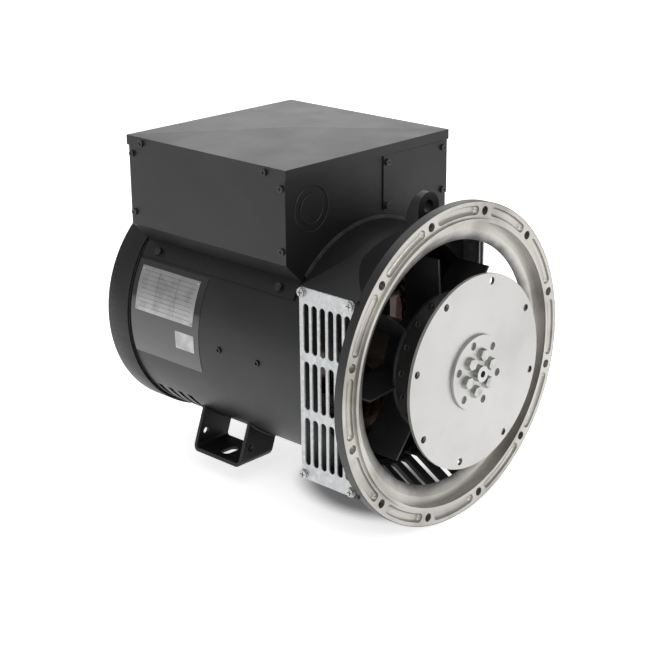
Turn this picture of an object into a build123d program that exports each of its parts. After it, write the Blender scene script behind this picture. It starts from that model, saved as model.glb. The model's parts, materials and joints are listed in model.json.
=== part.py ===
from build123d import *
import os
from math import atan2, cos, degrees, pi, radians, sin, sqrt

# Single-bearing brushless alternator head, in millimetres, +Z up.  The shaft runs along Y.
# The origin is the centre of the engine-side face of the housing flange, and the machine lies on +Y.

# ---------------------------------------------------------------- fits and clearances
SEAT_GAP = 0.3          # between seated pieces with curved faces
THIN_GAP = 0.05         # under labels and strips that lie on the frame
RUN_FIT = 0.05          # radial clearance of pieces on the shaft
SCREW_GAP = 0.25        # radial clearance of a screw in its hole

# ---------------------------------------------------------------- driving sizes
FLANGE_R = 201.6        # housing flange
FRAME_R = 155.5         # outside of the stator frame
BOX_HALF_W = 145.4      # half width of the terminal box
BOX_Y = (141.0, 420.6)  # terminal box along the shaft
THROUGH = 40.0          # length of a cut that passes right through a wall

# ---------------------------------------------------------------- engine-side interface
FLANGE_T = 12.0
BOLT_CIRCLE_R = FLANGE_R - 11.1
BOLT_HOLES = 12
BOLT_HOLE_R = 5.5
PILOT_R = BOLT_CIRCLE_R - 9.525
PILOT_RISE = 3.0
RECESS_R = PILOT_R - 3.975
RECESS_DEPTH = 8.0
THROAT_LIP_R = RECESS_R - 11.0
THROAT_R = FRAME_R - 2.5
THROAT_DEPTH = 14.0
POCKET_W = 11.6
POCKET_DEPTH = 5.0
POCKET_HALF_ANGLE = 9.6

# ---------------------------------------------------------------- drive-end bracket
BRACKET_WALL = 7.0
CAGE_HALF_W = FRAME_R + 9.5    # flat sides that carry the grilles
CAGE_SIDE_H = 121.0     # half height of the flat sides
CAGE_RIDGE = FRAME_R - 5.5     # half height of the cage on the centre line
CAGE_END_Y = 98.5
NECK_R = FLANGE_R - 6.6
NECK_Y = (16.0, 84.0)   # where the neck starts and where it reaches the frame's radius
BRACKET_END_Y = 100.0
WINDOW_Y = (17.0, 93.5)
WINDOW_HALF_H = 105.0
SLAT_SLOTS = 9
SLAT_PITCH = 21.0
SLAT_SLOT_W = 11.0
SLAT_Y = (34.0, 92.0)
EYE_HALF_W = 19.0
EYE_TOP_Z = 208.5
EYE_HOLE_Z = 190.5
EYE_HOLE_R = 8.5
EYE_Y = (46.0, 56.1)    # front face, and rear face at the top
EYE_SPOT_Y = 58.5
EYE_SPOT_R = 12.5
EYE_FOOT_Y = 73.8
EYE_FOOT_Z = 150.0

# ---------------------------------------------------------------- side grilles
GRILLE_T = 2.0
GRILLE_Y = (12.8, 99.0)
GRILLE_HALF_H = 120.3
GRILLE_CORNER_R = 6.0
GRILLE_SCREW_Y = (18.4, 94.5)
GRILLE_SCREW_Z = 114.2
SLOT_COLS = 6
SLOT_ROWS = 3
SLOT_PITCH_Y = 13.0
SLOT_PITCH_Z = 71.0
SLOT_W = 8.8
SLOT_L = 60.5
SLOT_MID_Y = 55.8
OUTLET_Y = (23.0, 92.0)
OUTLET_HALF_H = 103.0
BAFFLE_X = CAGE_HALF_W - 41.0
BAFFLE_T = 1.5
BAFFLE_Y0 = 66.0
BAFFLE_Z = (60.0, 116.0)
BAFFLE_TAB = 17.0
BAFFLE_TAB_Z = 86.0
BAFFLE_SCREW_DROP = 13.0

# ---------------------------------------------------------------- stator frame
FRAME_WALL = 6.0
FRAME_END_Y = 424.5
VENT_Y = 351.0
VENTS = 4
VENT_PITCH = 19.6
VENT_W = 9.0
VENT_START = 128.6      # degrees from the top
VENT_STOP = 171.0
LEAD_HOLE_R = 19.0
LEAD_HOLE_Y = 392.0
LUG_W = 18.0
LUG_L = 14.0
LUG_PHASE = 22.0

# ---------------------------------------------------------------- stator
CORE_Y = (180.0, 338.0)
CORE_BORE_R = 100.0
AIR_GAP = 1.0
WINDING_R = (FRAME_R - 49.5, FRAME_R - 12.5)
WINDING_REACH = 34.0
SLOTS = 36
SLOT_DEPTH = 26.0
SLOT_GAP_W = 8.0

# ---------------------------------------------------------------- rear end
SPIGOT_L = 9.0
REAR_FLANGE_T = 6.0
COVER_R = FRAME_R + 3.5
COVER_WALL = 2.0
COVER_END_Y = 466.5
COVER_EDGE_R = 4.0
COVER_SLOTS = 28
COVER_SLOT_W = 7.0
COVER_SLOT_R = (70.0, FRAME_R - 17.5)
BEARING_D = 80.0        # deep-groove ball bearing 80 x 40 x 18
BEARING_BORE = 40.0
BEARING_W = 18.0
BEARING_Y = 426.0
BALLS = 9
BALL_R = 5.95
BALL_PLAY = 0.1
HUB_WALL = 10.0
RACE_T = 5.5
CAP_T = 4.0
CAP_SEAT = 4.0          # how far the hub stands past the bearing
SPOKES = 4
SPOKE_W = 26.0
SPOKE_T = 12.0
BRACKET_SCREW_R = FRAME_R - 12.1
COVER_SCREW_R = FRAME_R - 21.0
POST_R = 8.0
REAR_RIM_W = 12.0
LUG_H = 13.0

# ---------------------------------------------------------------- exciter and rectifier
EXCITER_Y = (391.0, 411.0)
EXCITER_R = 80.0
EXCITER_BORE_R = 56.0
EXCITER_GAP = 0.8
HOUSING_RING_T = 6.0
FIELD_SLOTS = 12
FIELD_SLOT_W = 12.0
FIELD_SLOT_DEPTH = 14.0
FIELD_COIL_REACH = (7.0, 6.0)       # in front of the core and behind it
ARMATURE_SLOTS = 24
ARMATURE_SLOT_W = 5.0
ARMATURE_SLOT_DEPTH = 14.0
ARMATURE_COIL_REACH = (6.0, 5.0)
COIL_BAND = 12.0        # radial width of the exciter's coils
RECTIFIER_Y = 372.0
RECTIFIER_T = 5.0
RECTIFIER_R = 50.0
DIODES = 6
DIODE_R = 6.0
DIODE_H = 4.0
DIODE_TIP_R = 3.5
DIODE_TIP_H = 3.0

# ---------------------------------------------------------------- rotor
SHAFT_R = 27.5
SHAFT_DRIVE_R = 35.0
SHAFT_STUB_R = 10.0
SHAFT_STUB_Y = -41.0
SHAFT_SHOULDER_Y = 120.0
CENTRE_HOLE_R = 4.25
CENTRE_HOLE_L = 16.0
POLES = 4
POLE_W = 60.0
POLE_SHOE_HALF = 34.0
POLE_SHOE_T = 15.0
ROTOR_HUB_R = 54.0
COIL_W = 17.0
COIL_REACH = 22.0
COIL_R = (58.0, 81.0)

# ---------------------------------------------------------------- fan
FAN_Y = (20.0, 75.0)
FAN_R = 133.0
FAN_BLADES = 8
FAN_BLADE_T = 3.0
FAN_PHASE = -5.0
FAN_DISC_R = 88.4
FAN_DISC_T = 5.0
FAN_HUB_WALL = 11.0
FAN_HOLES = 16
FAN_HOLE_RING_R = 80.0
FAN_HOLE_R = 2.6

# ---------------------------------------------------------------- coupling
DISC_FACE_Y = -30.2
DISC_R = 120.65
DISCS = 4
DISC_T = 1.0
DISC_BOLT_R = 111.125
DISC_HOLES = 8
DISC_HOLE_R = 4.5
DISC_PHASE = 14.2
CLAMP_R = 47.0
CLAMP_T = 4.0
CLAMP_HOLES = 6
CLAMP_HOLE_RING_R = 37.65
CLAMP_HOLE_R = 4.8
HUB_BOLTS = 6
HUB_BOLT_RING_R = 22.75
HUB_BOLT_R = 4.0
HUB_BOLT_L = 24.0
HUB_BOLT_PHASE = 14.5

# ---------------------------------------------------------------- feet
FOOT_H = 170.4
FOOT_T = 5.0
FOOT_Y = (251.0, 341.0)
FOOT_X = (FRAME_R - 84.5, FRAME_R - 28.0)
FOOT_TOP_Z = -60.0
FOOT_LEAN = 0.36
FOOT_BEND_R = 9.0
FOOT_SLOT_X = FRAME_R - 53.5
FOOT_SLOT_R = 7.0
FOOT_SLOT_L = 26.0
FOOT_SIDE_HOLE = (FRAME_R - 48.5, -148.0)
FOOT_SIDE_HOLE_R = 4.5

# ---------------------------------------------------------------- terminal box
BOX_TOP_Z = FRAME_R + 88.0
BOX_WAIST_Z = FRAME_R - 25.5
BOX_T = 2.0
SADDLE_T = 2.6
SADDLE_FOOT_R = FRAME_R + SADDLE_T
# The 45 degree bevel is as deep as it takes to reach the frame.
BEVEL = (BOX_HALF_W + BOX_WAIST_Z
         - sqrt(2 * SADDLE_FOOT_R ** 2 - (BOX_HALF_W - BOX_WAIST_Z) ** 2)) / 2
BEVEL_ANGLE = degrees(atan2(BOX_HALF_W - BEVEL, BOX_WAIST_Z - BEVEL))
SADDLE_ANGLE = (BEVEL_ANGLE - 2.2, BEVEL_ANGLE + 8.6)
SADDLE_BOLT_ANGLE = BEVEL_ANGLE + 5.1
SADDLE_BOLT_Y = (BOX_Y[0] + 29.9, BOX_Y[1] - 29.2)
ARCH_R = FRAME_R + 3.0  # cut-out of the drive-side end over the frame
SEAL_LIP = 1.8
SEAL_ANGLE = BEVEL_ANGLE - 2.9
LID_Y = (BOX_Y[0] - 3.1, BOX_Y[1] + 1.7)
LID_HALF_W = BOX_HALF_W + 1.9
LID_T = 1.5
LID_EDGE_Z = BOX_TOP_Z + 2.6
LID_APEX_Z = LID_EDGE_Z + 6.0
SKIRT_Z = LID_EDGE_Z - 12.7
LID_SCREW_Y = (BOX_Y[0] + 31.5, BOX_Y[1] - 27.0)
LID_SCREW_Z = SKIRT_Z + 5.1
PANEL_SCREW_Z = (BOX_WAIST_Z + 16.3, BOX_TOP_Z - 20.9)
PANEL_SCREW_IN = 6.5
LIP_W = 12.0
LIP_T = 1.5
LIP_ENDS = (6.0, 14.0)  # how far the lips stop short of the waist and of the top
KNOCKOUT_X = BOX_HALF_W - 43.6
KNOCKOUT_Z = BOX_WAIST_Z + 61.3
KNOCKOUT_R = (18.4, 28.0)
COVER_X0 = BOX_HALF_W - 121.2
COVER_Z = (BOX_WAIST_Z + 33.3, BOX_TOP_Z - 10.9)
COVER_T = 1.6
COVER_WRAP = 34.0
ACCESS_X = (COVER_X0 + 11.8, BOX_HALF_W - 11.4)
ACCESS_Z = (COVER_Z[0] + 8.7, COVER_Z[1] - 6.6)

# ---------------------------------------------------------------- inside the box
DECK_Y = (BOX_Y[0] + 55.0, BOX_Y[0] + 189.0)
DECK_T = 2.0
DECK_TOP_Z = FRAME_R + 8.5
DECK_LIP = 16.0
BLOCK_X = (25.4 - BOX_HALF_W, 10.0)
BLOCK_Y = (BOX_Y[0] + 84.0, BOX_Y[0] + 144.0)
BLOCK_H = 20.0
STUDS = 6
BARRIER_T = 3.0
BARRIER_H = 10.0
STUD_R = 4.0
STUD_L = 20.0
NUT_R = 7.5
NUT_H = 7.0
REGULATOR_X = (40.0, BOX_HALF_W - 17.4)
REGULATOR_Y = (BOX_Y[0] + 64.0, BOX_Y[0] + 179.0)
REGULATOR_H = 26.0
FINS = 9
FIN_T = 3.0
FIN_H = 8.0
FIN_IN = 10.0
GROMMET_WALL = 4.0
LEAD_R = 3.4
LEAD_PITCH = 8.0
LEAD_X0 = BLOCK_X[1] - 20.0
LEAD_LOW_Z = FRAME_R - 30.5
LEAD_HIGH_Z = DECK_TOP_Z + 6.0

# ---------------------------------------------------------------- plates on the frame
LABEL_T = 0.3
LABEL_ANGLE = (-SADDLE_ANGLE[1] - 1.45, -105.5)
LABEL_Y = (290.0, 423.0)
PLATE_ANGLE = (-61.7, -83.3)
PLATE_Y = (301.3, 412.0)
PLATE_T = 0.4
TAG_ANGLE = (-87.6, -96.1)
TAG_Y = (298.7, 333.7)
PLUG_Y = (184.4, 252.6)
PLUG_R = 4.0
PLUG_RISE = 2.0

# ---------------------------------------------------------------- screws
M4_R, M4_HEAD_R, M4_HEAD_H = 2.0, 4.2, 2.8
M5_R, M5_HEAD_R, M5_HEAD_H = 2.5, 5.2, 3.4
M6_R, M6_AF, M6_HEAD_H = 3.0, 10.0, 4.0
M8_AF, M8_HEAD_H = 13.0, 5.3


# ================================================================ helpers
def rod(radius, y0, y1, x=0.0, z=0.0):
    """A cylinder along Y."""
    return Pos(x, (y0 + y1) / 2, z) * Cylinder(radius, y1 - y0, rotation=(90, 0, 0))


def ring(outer, inner, y0, y1):
    """A plain ring about the shaft axis."""
    return rod(outer, y0, y1) - rod(inner, y0 - 1, y1 + 1)


def block(x0, x1, y0, y1, z0, z1):
    """A box from corner to corner."""
    centre = Pos((x0 + x1) / 2, (y0 + y1) / 2, (z0 + z1) / 2)
    return centre * Box(abs(x1 - x0), abs(y1 - y0), abs(z1 - z0))


def section_plane(y):
    """The plane across the shaft at y, with local axes X and Z."""
    return Plane(origin=(0, y, 0), x_dir=(1, 0, 0), z_dir=(0, -1, 0))


def prism(points, y0, y1):
    """A polygon given in X and Z, extruded from y0 to y1."""
    face = section_plane(y1) * Polygon(*points, align=None)
    return extrude(face, y1 - y0, dir=(0, -1, 0))


def around(angle, radius):
    """X and Z of a point at an angle from the top towards +X."""
    return radius * sin(radians(angle)), radius * cos(radians(angle))


def wedge(angle0, angle1, reach, y0, y1):
    """A slice of pie about the shaft, from angle0 to angle1."""
    steps = 6
    points = [(0.0, 0.0)]
    for k in range(steps + 1):
        points.append(around(angle0 + (angle1 - angle0) * k / steps, reach * 1.2))
    return prism(points, y0, y1)


def strip(angle0, angle1, outer, inner, y0, y1):
    """Part of a ring between two angles."""
    return ring(outer, inner, y0, y1) & wedge(angle0, angle1, outer, y0, y1)


def spun(shape, angle):
    """A shape turned about the shaft, clockwise from the drive end."""
    return Rot(0, angle, 0) * shape


def pattern(shape, count, phase=0.0):
    """Copies of a shape about the shaft."""
    return [spun(shape, phase + 360.0 * k / count) for k in range(count)]


def mirrored(shape):
    """The same shape on the other side of the machine."""
    return mirror(shape, about=Plane.YZ)


def slot_x(half_y, half_z, x0, x1, y, z):
    """A round-ended slot that is long in Z and passes through along X."""
    straight = half_z - half_y
    body = block(x0, x1, y - half_y, y + half_y, z - straight, z + straight)
    for end in (z - straight, z + straight):
        body += Pos((x0 + x1) / 2, y, end) * Cylinder(half_y, abs(x1 - x0), rotation=(0, 90, 0))
    return body


def pan_screw_x(side, x, y, z, length, shank_r, head_r, head_h):
    """A pan-head screw that enters along X, with its head outside at x."""
    head = Pos(side * (x + head_h / 2), y, z) * Cylinder(head_r, head_h, rotation=(0, 90, 0))
    shank = Pos(side * (x - length / 2), y, z) * Cylinder(shank_r, length, rotation=(0, 90, 0))
    slot = block(side * (x + head_h * 0.5), side * (x + head_h + 1), y - 0.6, y + 0.6,
                 z - head_r * 0.7, z + head_r * 0.7)
    cross = block(side * (x + head_h * 0.5), side * (x + head_h + 1), y - head_r * 0.7,
                  y + head_r * 0.7, z - 0.6, z + 0.6)
    return head + shank - slot - cross


def hex_bolt_y(x, z, face_y, across, head_h, shank_r, length):
    """A hexagon bolt along +Y with its head in front of face_y."""
    points = [(x + across / sqrt(3) * cos(k * pi / 3), z + across / sqrt(3) * sin(k * pi / 3))
              for k in range(6)]
    return prism(points, face_y - head_h, face_y) + rod(shank_r, face_y, face_y + length, x, z)


def write(name, *solids):
    """Writes one node, keeping each piece a separate solid."""
    found = []
    for item in solids:
        found.extend(item.solids())
    shape = found[0] if len(found) == 1 else Compound(children=found)
    export_step(shape, f"parts/{name}.step")


# ================================================================ drive-end bracket
def bracket_form(shrink, y_extra):
    """The bracket's outer form, or its inside when shrunk by the wall."""
    neck_r = NECK_R - shrink
    end_r = FRAME_R - shrink
    length = NECK_Y[1] - NECK_Y[0]
    neck = Pos(0, sum(NECK_Y) / 2, 0) * Cone(end_r, neck_r, length, rotation=(90, 0, 0))
    neck += rod(neck_r, THROAT_DEPTH - 4, NECK_Y[0])
    neck += rod(end_r, NECK_Y[1], BRACKET_END_Y + y_extra)
    half_w = CAGE_HALF_W - shrink
    neck &= block(-half_w, half_w, 0, FRAME_END_Y, -FLANGE_R, FLANGE_R)
    side_h = CAGE_SIDE_H - shrink
    ridge = CAGE_RIDGE - shrink
    gable = [(-half_w, -side_h), (0, -ridge), (half_w, -side_h),
             (half_w, side_h), (0, ridge), (-half_w, side_h)]
    return neck + prism(gable, THROAT_DEPTH - 4, CAGE_END_Y - shrink)


def flange_pocket():
    """A shallow round-ended relief between two flange holes."""
    half = POCKET_W / 2
    band = ring(BOLT_CIRCLE_R + half, BOLT_CIRCLE_R - half, -1, POCKET_DEPTH)
    band &= wedge(-POCKET_HALF_ANGLE, POCKET_HALF_ANGLE, FLANGE_R, -1, POCKET_DEPTH)
    for side in (-1, 1):
        x, z = around(side * POCKET_HALF_ANGLE, BOLT_CIRCLE_R)
        band += rod(half, -1, POCKET_DEPTH, x, z)
    floor = band.edges().group_by(Axis.Y)[-1]
    return fillet(floor, POCKET_DEPTH * 0.8)


def lifting_eye():
    """The lug on top of the bracket."""
    side = Plane.YZ * Polygon((EYE_Y[0], EYE_TOP_Z), (EYE_Y[1], EYE_TOP_Z),
                              (EYE_FOOT_Y, EYE_FOOT_Z), (EYE_Y[0], EYE_FOOT_Z), align=None)
    lug = extrude(side, EYE_HALF_W, both=True)
    crown_z = EYE_TOP_Z - EYE_HALF_W
    outline = block(-EYE_HALF_W, EYE_HALF_W, 0, CAGE_END_Y, EYE_FOOT_Z, crown_z)
    outline += rod(EYE_HALF_W, 0, CAGE_END_Y, 0, crown_z)
    return lug & outline


def bracket_half(front):
    """The flange ring in front of the throat's edge, or the cage behind it."""
    y0, y1 = (-PILOT_RISE - 1, THROAT_DEPTH) if front else (THROAT_DEPTH, FRAME_END_Y)
    return drive_end_bracket() & block(-FLANGE_R - 1, FLANGE_R + 1, y0, y1,
                                       -FLANGE_R - 1, FLANGE_R + EYE_HALF_W)


def drive_end_bracket():
    """Flange, throat, cage, lifting eye and the spigot that enters the frame."""
    body = rod(FLANGE_R, 0, FLANGE_T) + ring(PILOT_R, RECESS_R, -PILOT_RISE, 1)
    body += bracket_form(0, 0)
    spigot_r = FRAME_R - FRAME_WALL - SEAT_GAP
    body -= bracket_form(BRACKET_WALL, 1) & block(
        -FLANGE_R, FLANGE_R, THROAT_DEPTH, FRAME_END_Y, -FLANGE_R, FLANGE_R)
    body += ring(spigot_r, spigot_r - 5, CAGE_END_Y - BRACKET_WALL, BRACKET_END_Y + SPIGOT_L)
    body += lifting_eye() - bracket_form(BRACKET_WALL / 2, 0)
    body -= rod(EYE_SPOT_R, EYE_SPOT_Y, EYE_FOOT_Y + 5, 0, EYE_HOLE_Z)
    body -= rod(RECESS_R, -PILOT_RISE - 1, RECESS_DEPTH)
    body -= Pos(0, (RECESS_DEPTH + THROAT_DEPTH) / 2, 0) * Cone(
        THROAT_R, THROAT_LIP_R, THROAT_DEPTH - RECESS_DEPTH, rotation=(90, 0, 0))
    body -= rod(THROAT_R, 0, THROAT_DEPTH + 1)
    for side in (-1, 1):
        body -= block(side * (CAGE_HALF_W - 25), side * FLANGE_R, *WINDOW_Y,
                      -WINDOW_HALF_H, WINDOW_HALF_H)
    for k in range(SLAT_SLOTS):
        x = (k - (SLAT_SLOTS - 1) / 2) * SLAT_PITCH
        body -= block(x - SLAT_SLOT_W / 2, x + SLAT_SLOT_W / 2, *SLAT_Y, -FLANGE_R, 50 - CAGE_RIDGE)
    body -= rod(EYE_HOLE_R, EYE_Y[0] - 5, EYE_FOOT_Y + 5, 0, EYE_HOLE_Z)
    hole_x, hole_z = around(180.0 / BOLT_HOLES, BOLT_CIRCLE_R)
    for hole in pattern(rod(BOLT_HOLE_R, -1, FLANGE_T + 1, hole_x, hole_z), BOLT_HOLES):
        body -= hole
    for pocket in pattern(flange_pocket(), BOLT_HOLES):
        body -= pocket
    for side in (-1, 1):
        for y in GRILLE_SCREW_Y:
            for z in (-GRILLE_SCREW_Z, GRILLE_SCREW_Z):
                body -= Pos(side * CAGE_HALF_W, y, z) * Cylinder(
                    M5_R + SCREW_GAP, 24, rotation=(0, 90, 0))
    return body


# ================================================================ side grilles
def grille_blank():
    """The sheet before its slots, on the -X side."""
    x0 = -CAGE_HALF_W - GRILLE_T
    sheet = block(x0, -CAGE_HALF_W, *GRILLE_Y, -GRILLE_HALF_H, GRILLE_HALF_H)
    sheet = fillet(sheet.edges().filter_by(Axis.X), GRILLE_CORNER_R)
    for y in GRILLE_SCREW_Y:
        for z in (-GRILLE_SCREW_Z, GRILLE_SCREW_Z):
            sheet -= Pos(x0, y, z) * Cylinder(M5_R + SCREW_GAP, 9, rotation=(0, 90, 0))
    return sheet


def side_grille_left():
    """Three rows of upright slots."""
    sheet = grille_blank()
    for row in range(SLOT_ROWS):
        for col in range(SLOT_COLS):
            y = SLOT_MID_Y + (col - (SLOT_COLS - 1) / 2) * SLOT_PITCH_Y
            z = (row - (SLOT_ROWS - 1) / 2) * SLOT_PITCH_Z
            sheet -= slot_x(SLOT_W / 2, SLOT_L / 2, -CAGE_HALF_W - 9, -CAGE_HALF_W + 9, y, z)
    return sheet


def side_frame_right():
    """The outlet frame, which leaves the window open."""
    sheet = mirrored(grille_blank())
    return sheet - block(CAGE_HALF_W - 9, CAGE_HALF_W + 9, *OUTLET_Y,
                         -OUTLET_HALF_H, OUTLET_HALF_H)


def grille_screws():
    """Pan-head screws at the corners of both side plates."""
    made = []
    for side in (-1, 1):
        for y in GRILLE_SCREW_Y:
            for z in (-GRILLE_SCREW_Z, GRILLE_SCREW_Z):
                made.append(pan_screw_x(side, CAGE_HALF_W + GRILLE_T, y, z, 9,
                                        M5_R, M5_HEAD_R, M5_HEAD_H))
    return made


def outlet_baffles():
    """Two sheet angles inside the outlet, above and below the fan."""
    back = CAGE_END_Y - BRACKET_WALL
    x1 = BAFFLE_X + BAFFLE_T
    plate = block(BAFFLE_X, x1, BAFFLE_Y0, back, *BAFFLE_Z)
    tab = block(BAFFLE_X, x1 + BAFFLE_TAB, back - BAFFLE_T, back, BAFFLE_TAB_Z, BAFFLE_Z[1])
    angle = plate + tab
    angle -= rod(M5_R + SCREW_GAP, back - 5, back + 1, x1 + BAFFLE_TAB / 2, baffle_screw_z())
    return [angle, mirror(angle, about=Plane.XY)]


def baffle_screw_z():
    """Height of the screw in the tab of a baffle."""
    return BAFFLE_Z[1] - BAFFLE_SCREW_DROP


def baffle_screws():
    """One screw in each tab."""
    face = CAGE_END_Y - BRACKET_WALL - BAFFLE_T
    x = BAFFLE_X + BAFFLE_T + BAFFLE_TAB / 2
    screw = rod(M5_HEAD_R, face - M5_HEAD_H, face, x, baffle_screw_z())
    screw += rod(M5_R, face, face + BAFFLE_T, x, baffle_screw_z())
    return [screw, mirror(screw, about=Plane.XY)]


# ================================================================ stator frame and stator
def stator_frame():
    """The rolled steel shell with its lugs, vents and openings."""
    shell = ring(FRAME_R, FRAME_R - FRAME_WALL, BRACKET_END_Y, FRAME_END_Y)
    bore = FRAME_R - FRAME_WALL
    lug_y1 = FRAME_END_Y - SPIGOT_L - SEAT_GAP
    lug = block(-LUG_W / 2, LUG_W / 2, lug_y1 - LUG_L, lug_y1, bore - LUG_H, bore + 2)
    lug -= rod(M6_R + THIN_GAP, lug_y1 - LUG_L - 1, lug_y1 + 1, 0, BRACKET_SCREW_R)
    for one in pattern(lug, SPOKES, LUG_PHASE):
        shell += one
    for k in range(VENTS):
        y = VENT_Y + k * VENT_PITCH
        for side in (-1, 1):
            shell -= wedge(side * VENT_START, side * VENT_STOP, FRAME_R,
                           y - VENT_W / 2, y + VENT_W / 2)
    shell -= Pos(0, LEAD_HOLE_Y, FRAME_R) * Cylinder(LEAD_HOLE_R, THROUGH)
    for side in (-1, 1):
        for y in PLUG_Y:
            shell -= Pos(side * FRAME_R, y, 0) * Cylinder(
                PLUG_R + SCREW_GAP, 20, rotation=(0, 90, 0))
    return shell


def frame_plugs():
    """Grub screws that pin the core in the frame."""
    made = []
    for side in (-1, 1):
        for y in PLUG_Y:
            length = FRAME_WALL + PLUG_RISE - SEAT_GAP
            x = side * (FRAME_R + PLUG_RISE - length / 2)
            body = Pos(x, y, 0) * Cylinder(PLUG_R, length, rotation=(0, 90, 0))
            socket = Pos(side * (FRAME_R + PLUG_RISE), y, 0) * Cylinder(
                PLUG_R * 0.5, 3, rotation=(0, 90, 0))
            made.append(body - socket)
    return made


def stator_core():
    """The laminated core with its slots."""
    core = ring(FRAME_R - FRAME_WALL - SEAT_GAP, CORE_BORE_R, *CORE_Y)
    cutter = block(-SLOT_GAP_W / 2, SLOT_GAP_W / 2, CORE_Y[0] - 1, CORE_Y[1] + 1,
                   CORE_BORE_R - 2, CORE_BORE_R + SLOT_DEPTH)
    for slot in pattern(cutter, SLOTS):
        core -= slot
    return core


def end_winding(y0, y1):
    """The varnished bundle of end turns."""
    bundle = ring(WINDING_R[1], WINDING_R[0], y0, y1)
    return fillet(bundle.edges(), 7.0)


# ================================================================ rear end
def rear_bracket():
    """Spigot ring, spokes, bearing hub and the ring that holds the exciter."""
    bore = FRAME_R - FRAME_WALL
    hub_r = BEARING_D / 2 + HUB_WALL
    flange_end = FRAME_END_Y + REAR_FLANGE_T
    body = ring(FRAME_R, bore - REAR_RIM_W, FRAME_END_Y, flange_end)
    body += ring(bore - SEAT_GAP, bore - REAR_RIM_W, FRAME_END_Y - SPIGOT_L, FRAME_END_Y)
    spoke_y0 = FRAME_END_Y - 6
    spoke = block(-SPOKE_W / 2, SPOKE_W / 2, spoke_y0, spoke_y0 + SPOKE_T, hub_r - 4, bore - 6)
    for arm in pattern(spoke, SPOKES, 45.0):
        body += arm
    body += rod(hub_r, spoke_y0, BEARING_Y + BEARING_W + CAP_SEAT)
    holder_r = EXCITER_R + HOUSING_RING_T
    body += ring(holder_r, EXCITER_R + SEAT_GAP, EXCITER_Y[0] - 4, spoke_y0 + 4)
    body -= rod(BEARING_D / 2 + THIN_GAP, BEARING_Y, BEARING_Y + BEARING_W + 9)
    body -= rod(BEARING_D / 2 - 8, FRAME_END_Y - 20, BEARING_Y + 1)
    hole = rod(M6_R + SCREW_GAP, FRAME_END_Y - 12, flange_end + 1, 0, BRACKET_SCREW_R)
    for cut in pattern(hole, SPOKES, LUG_PHASE):
        body -= cut
    return body


def rear_cover():
    """The pressed cap over the rear end, with its air slots."""
    body = rod(COVER_R, FRAME_END_Y, COVER_END_Y)
    body = fillet(body.edges().group_by(Axis.Y)[-1], COVER_EDGE_R)
    body -= rod(COVER_R - COVER_WALL, FRAME_END_Y - 1, COVER_END_Y - COVER_WALL)
    slot = block(-COVER_SLOT_W / 2, COVER_SLOT_W / 2, COVER_END_Y - 9, COVER_END_Y + 9,
                 *COVER_SLOT_R)
    for cut in pattern(slot, COVER_SLOTS, 180.0 / COVER_SLOTS):
        body -= cut
    for tab in pattern(cover_tab(), SPOKES, 45.0):
        body += tab
    hole = rod(M6_R + SCREW_GAP, FRAME_END_Y, COVER_END_Y + 9, 0, COVER_SCREW_R)
    for cut in pattern(hole, SPOKES, 45.0):
        body -= cut
    return body


def cover_tab():
    """A post inside the cover that stands on the rear bracket."""
    return rod(POST_R, FRAME_END_Y + REAR_FLANGE_T + SEAT_GAP, COVER_END_Y - COVER_WALL,
               0, COVER_SCREW_R)


def rear_cover_screws():
    """Hexagon screws through the posts of the cover."""
    length = COVER_END_Y - FRAME_END_Y - REAR_FLANGE_T - SEAT_GAP
    screw = mirror(hex_bolt_y(0, COVER_SCREW_R, 0, M6_AF, M6_HEAD_H, M6_R, length),
                   about=Plane.XZ)
    return pattern(Pos(0, COVER_END_Y, 0) * screw, SPOKES, 45.0)


def rear_bracket_screws():
    """Cap screws that hold the rear bracket on the lugs of the frame."""
    flange_end = FRAME_END_Y + REAR_FLANGE_T
    screw = rod(M6_R, FRAME_END_Y - SPIGOT_L - LUG_L, flange_end, 0, BRACKET_SCREW_R)
    screw += rod(M6_AF / 2, flange_end, flange_end + 6, 0, BRACKET_SCREW_R)
    screw -= rod(M6_AF / 4, flange_end + 3, flange_end + 7, 0, BRACKET_SCREW_R)
    return pattern(screw, SPOKES, LUG_PHASE)


def groove():
    """The path of the balls."""
    path = Torus((BEARING_D + BEARING_BORE) / 4, BALL_R + BALL_PLAY)
    return Pos(0, BEARING_Y + BEARING_W / 2, 0) * Rot(90, 0, 0) * path


def bearing_race(outer, inner):
    """One race, with its groove."""
    return ring(outer, inner, BEARING_Y, BEARING_Y + BEARING_W) - groove()


def bearing_outer_race():
    """The race in the bearing hub."""
    return bearing_race(BEARING_D / 2, BEARING_D / 2 - RACE_T)


def bearing_inner_race():
    """The race on the shaft."""
    return bearing_race(BEARING_BORE / 2 + RACE_T, BEARING_BORE / 2)


def balls(radius):
    """Spheres at the ball places."""
    centre = Pos(0, BEARING_Y + BEARING_W / 2, (BEARING_D + BEARING_BORE) / 4)
    return pattern(centre * Sphere(radius), BALLS)


def bearing_cage():
    """The ring that spaces the balls."""
    pitch = (BEARING_D + BEARING_BORE) / 4
    middle = BEARING_Y + BEARING_W / 2
    cage = ring(pitch + 2, pitch - 2, middle - 7.5, middle + 7.5)
    drill = Pos(0, middle, pitch) * Cylinder(BALL_R + BALL_PLAY, 12)
    for pocket in pattern(drill, BALLS):
        cage -= pocket
    return cage


def bearing_cap():
    """The plate that closes the bearing hub, with its clearance for the shaft end."""
    y0 = BEARING_Y + BEARING_W + CAP_SEAT
    cap = rod(BEARING_D / 2 + HUB_WALL, y0, y0 + CAP_T)
    cap += ring(BEARING_D / 2 - SEAT_GAP, BEARING_D / 2 - 5, y0 - CAP_SEAT + SEAT_GAP, y0)
    return cap


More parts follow.
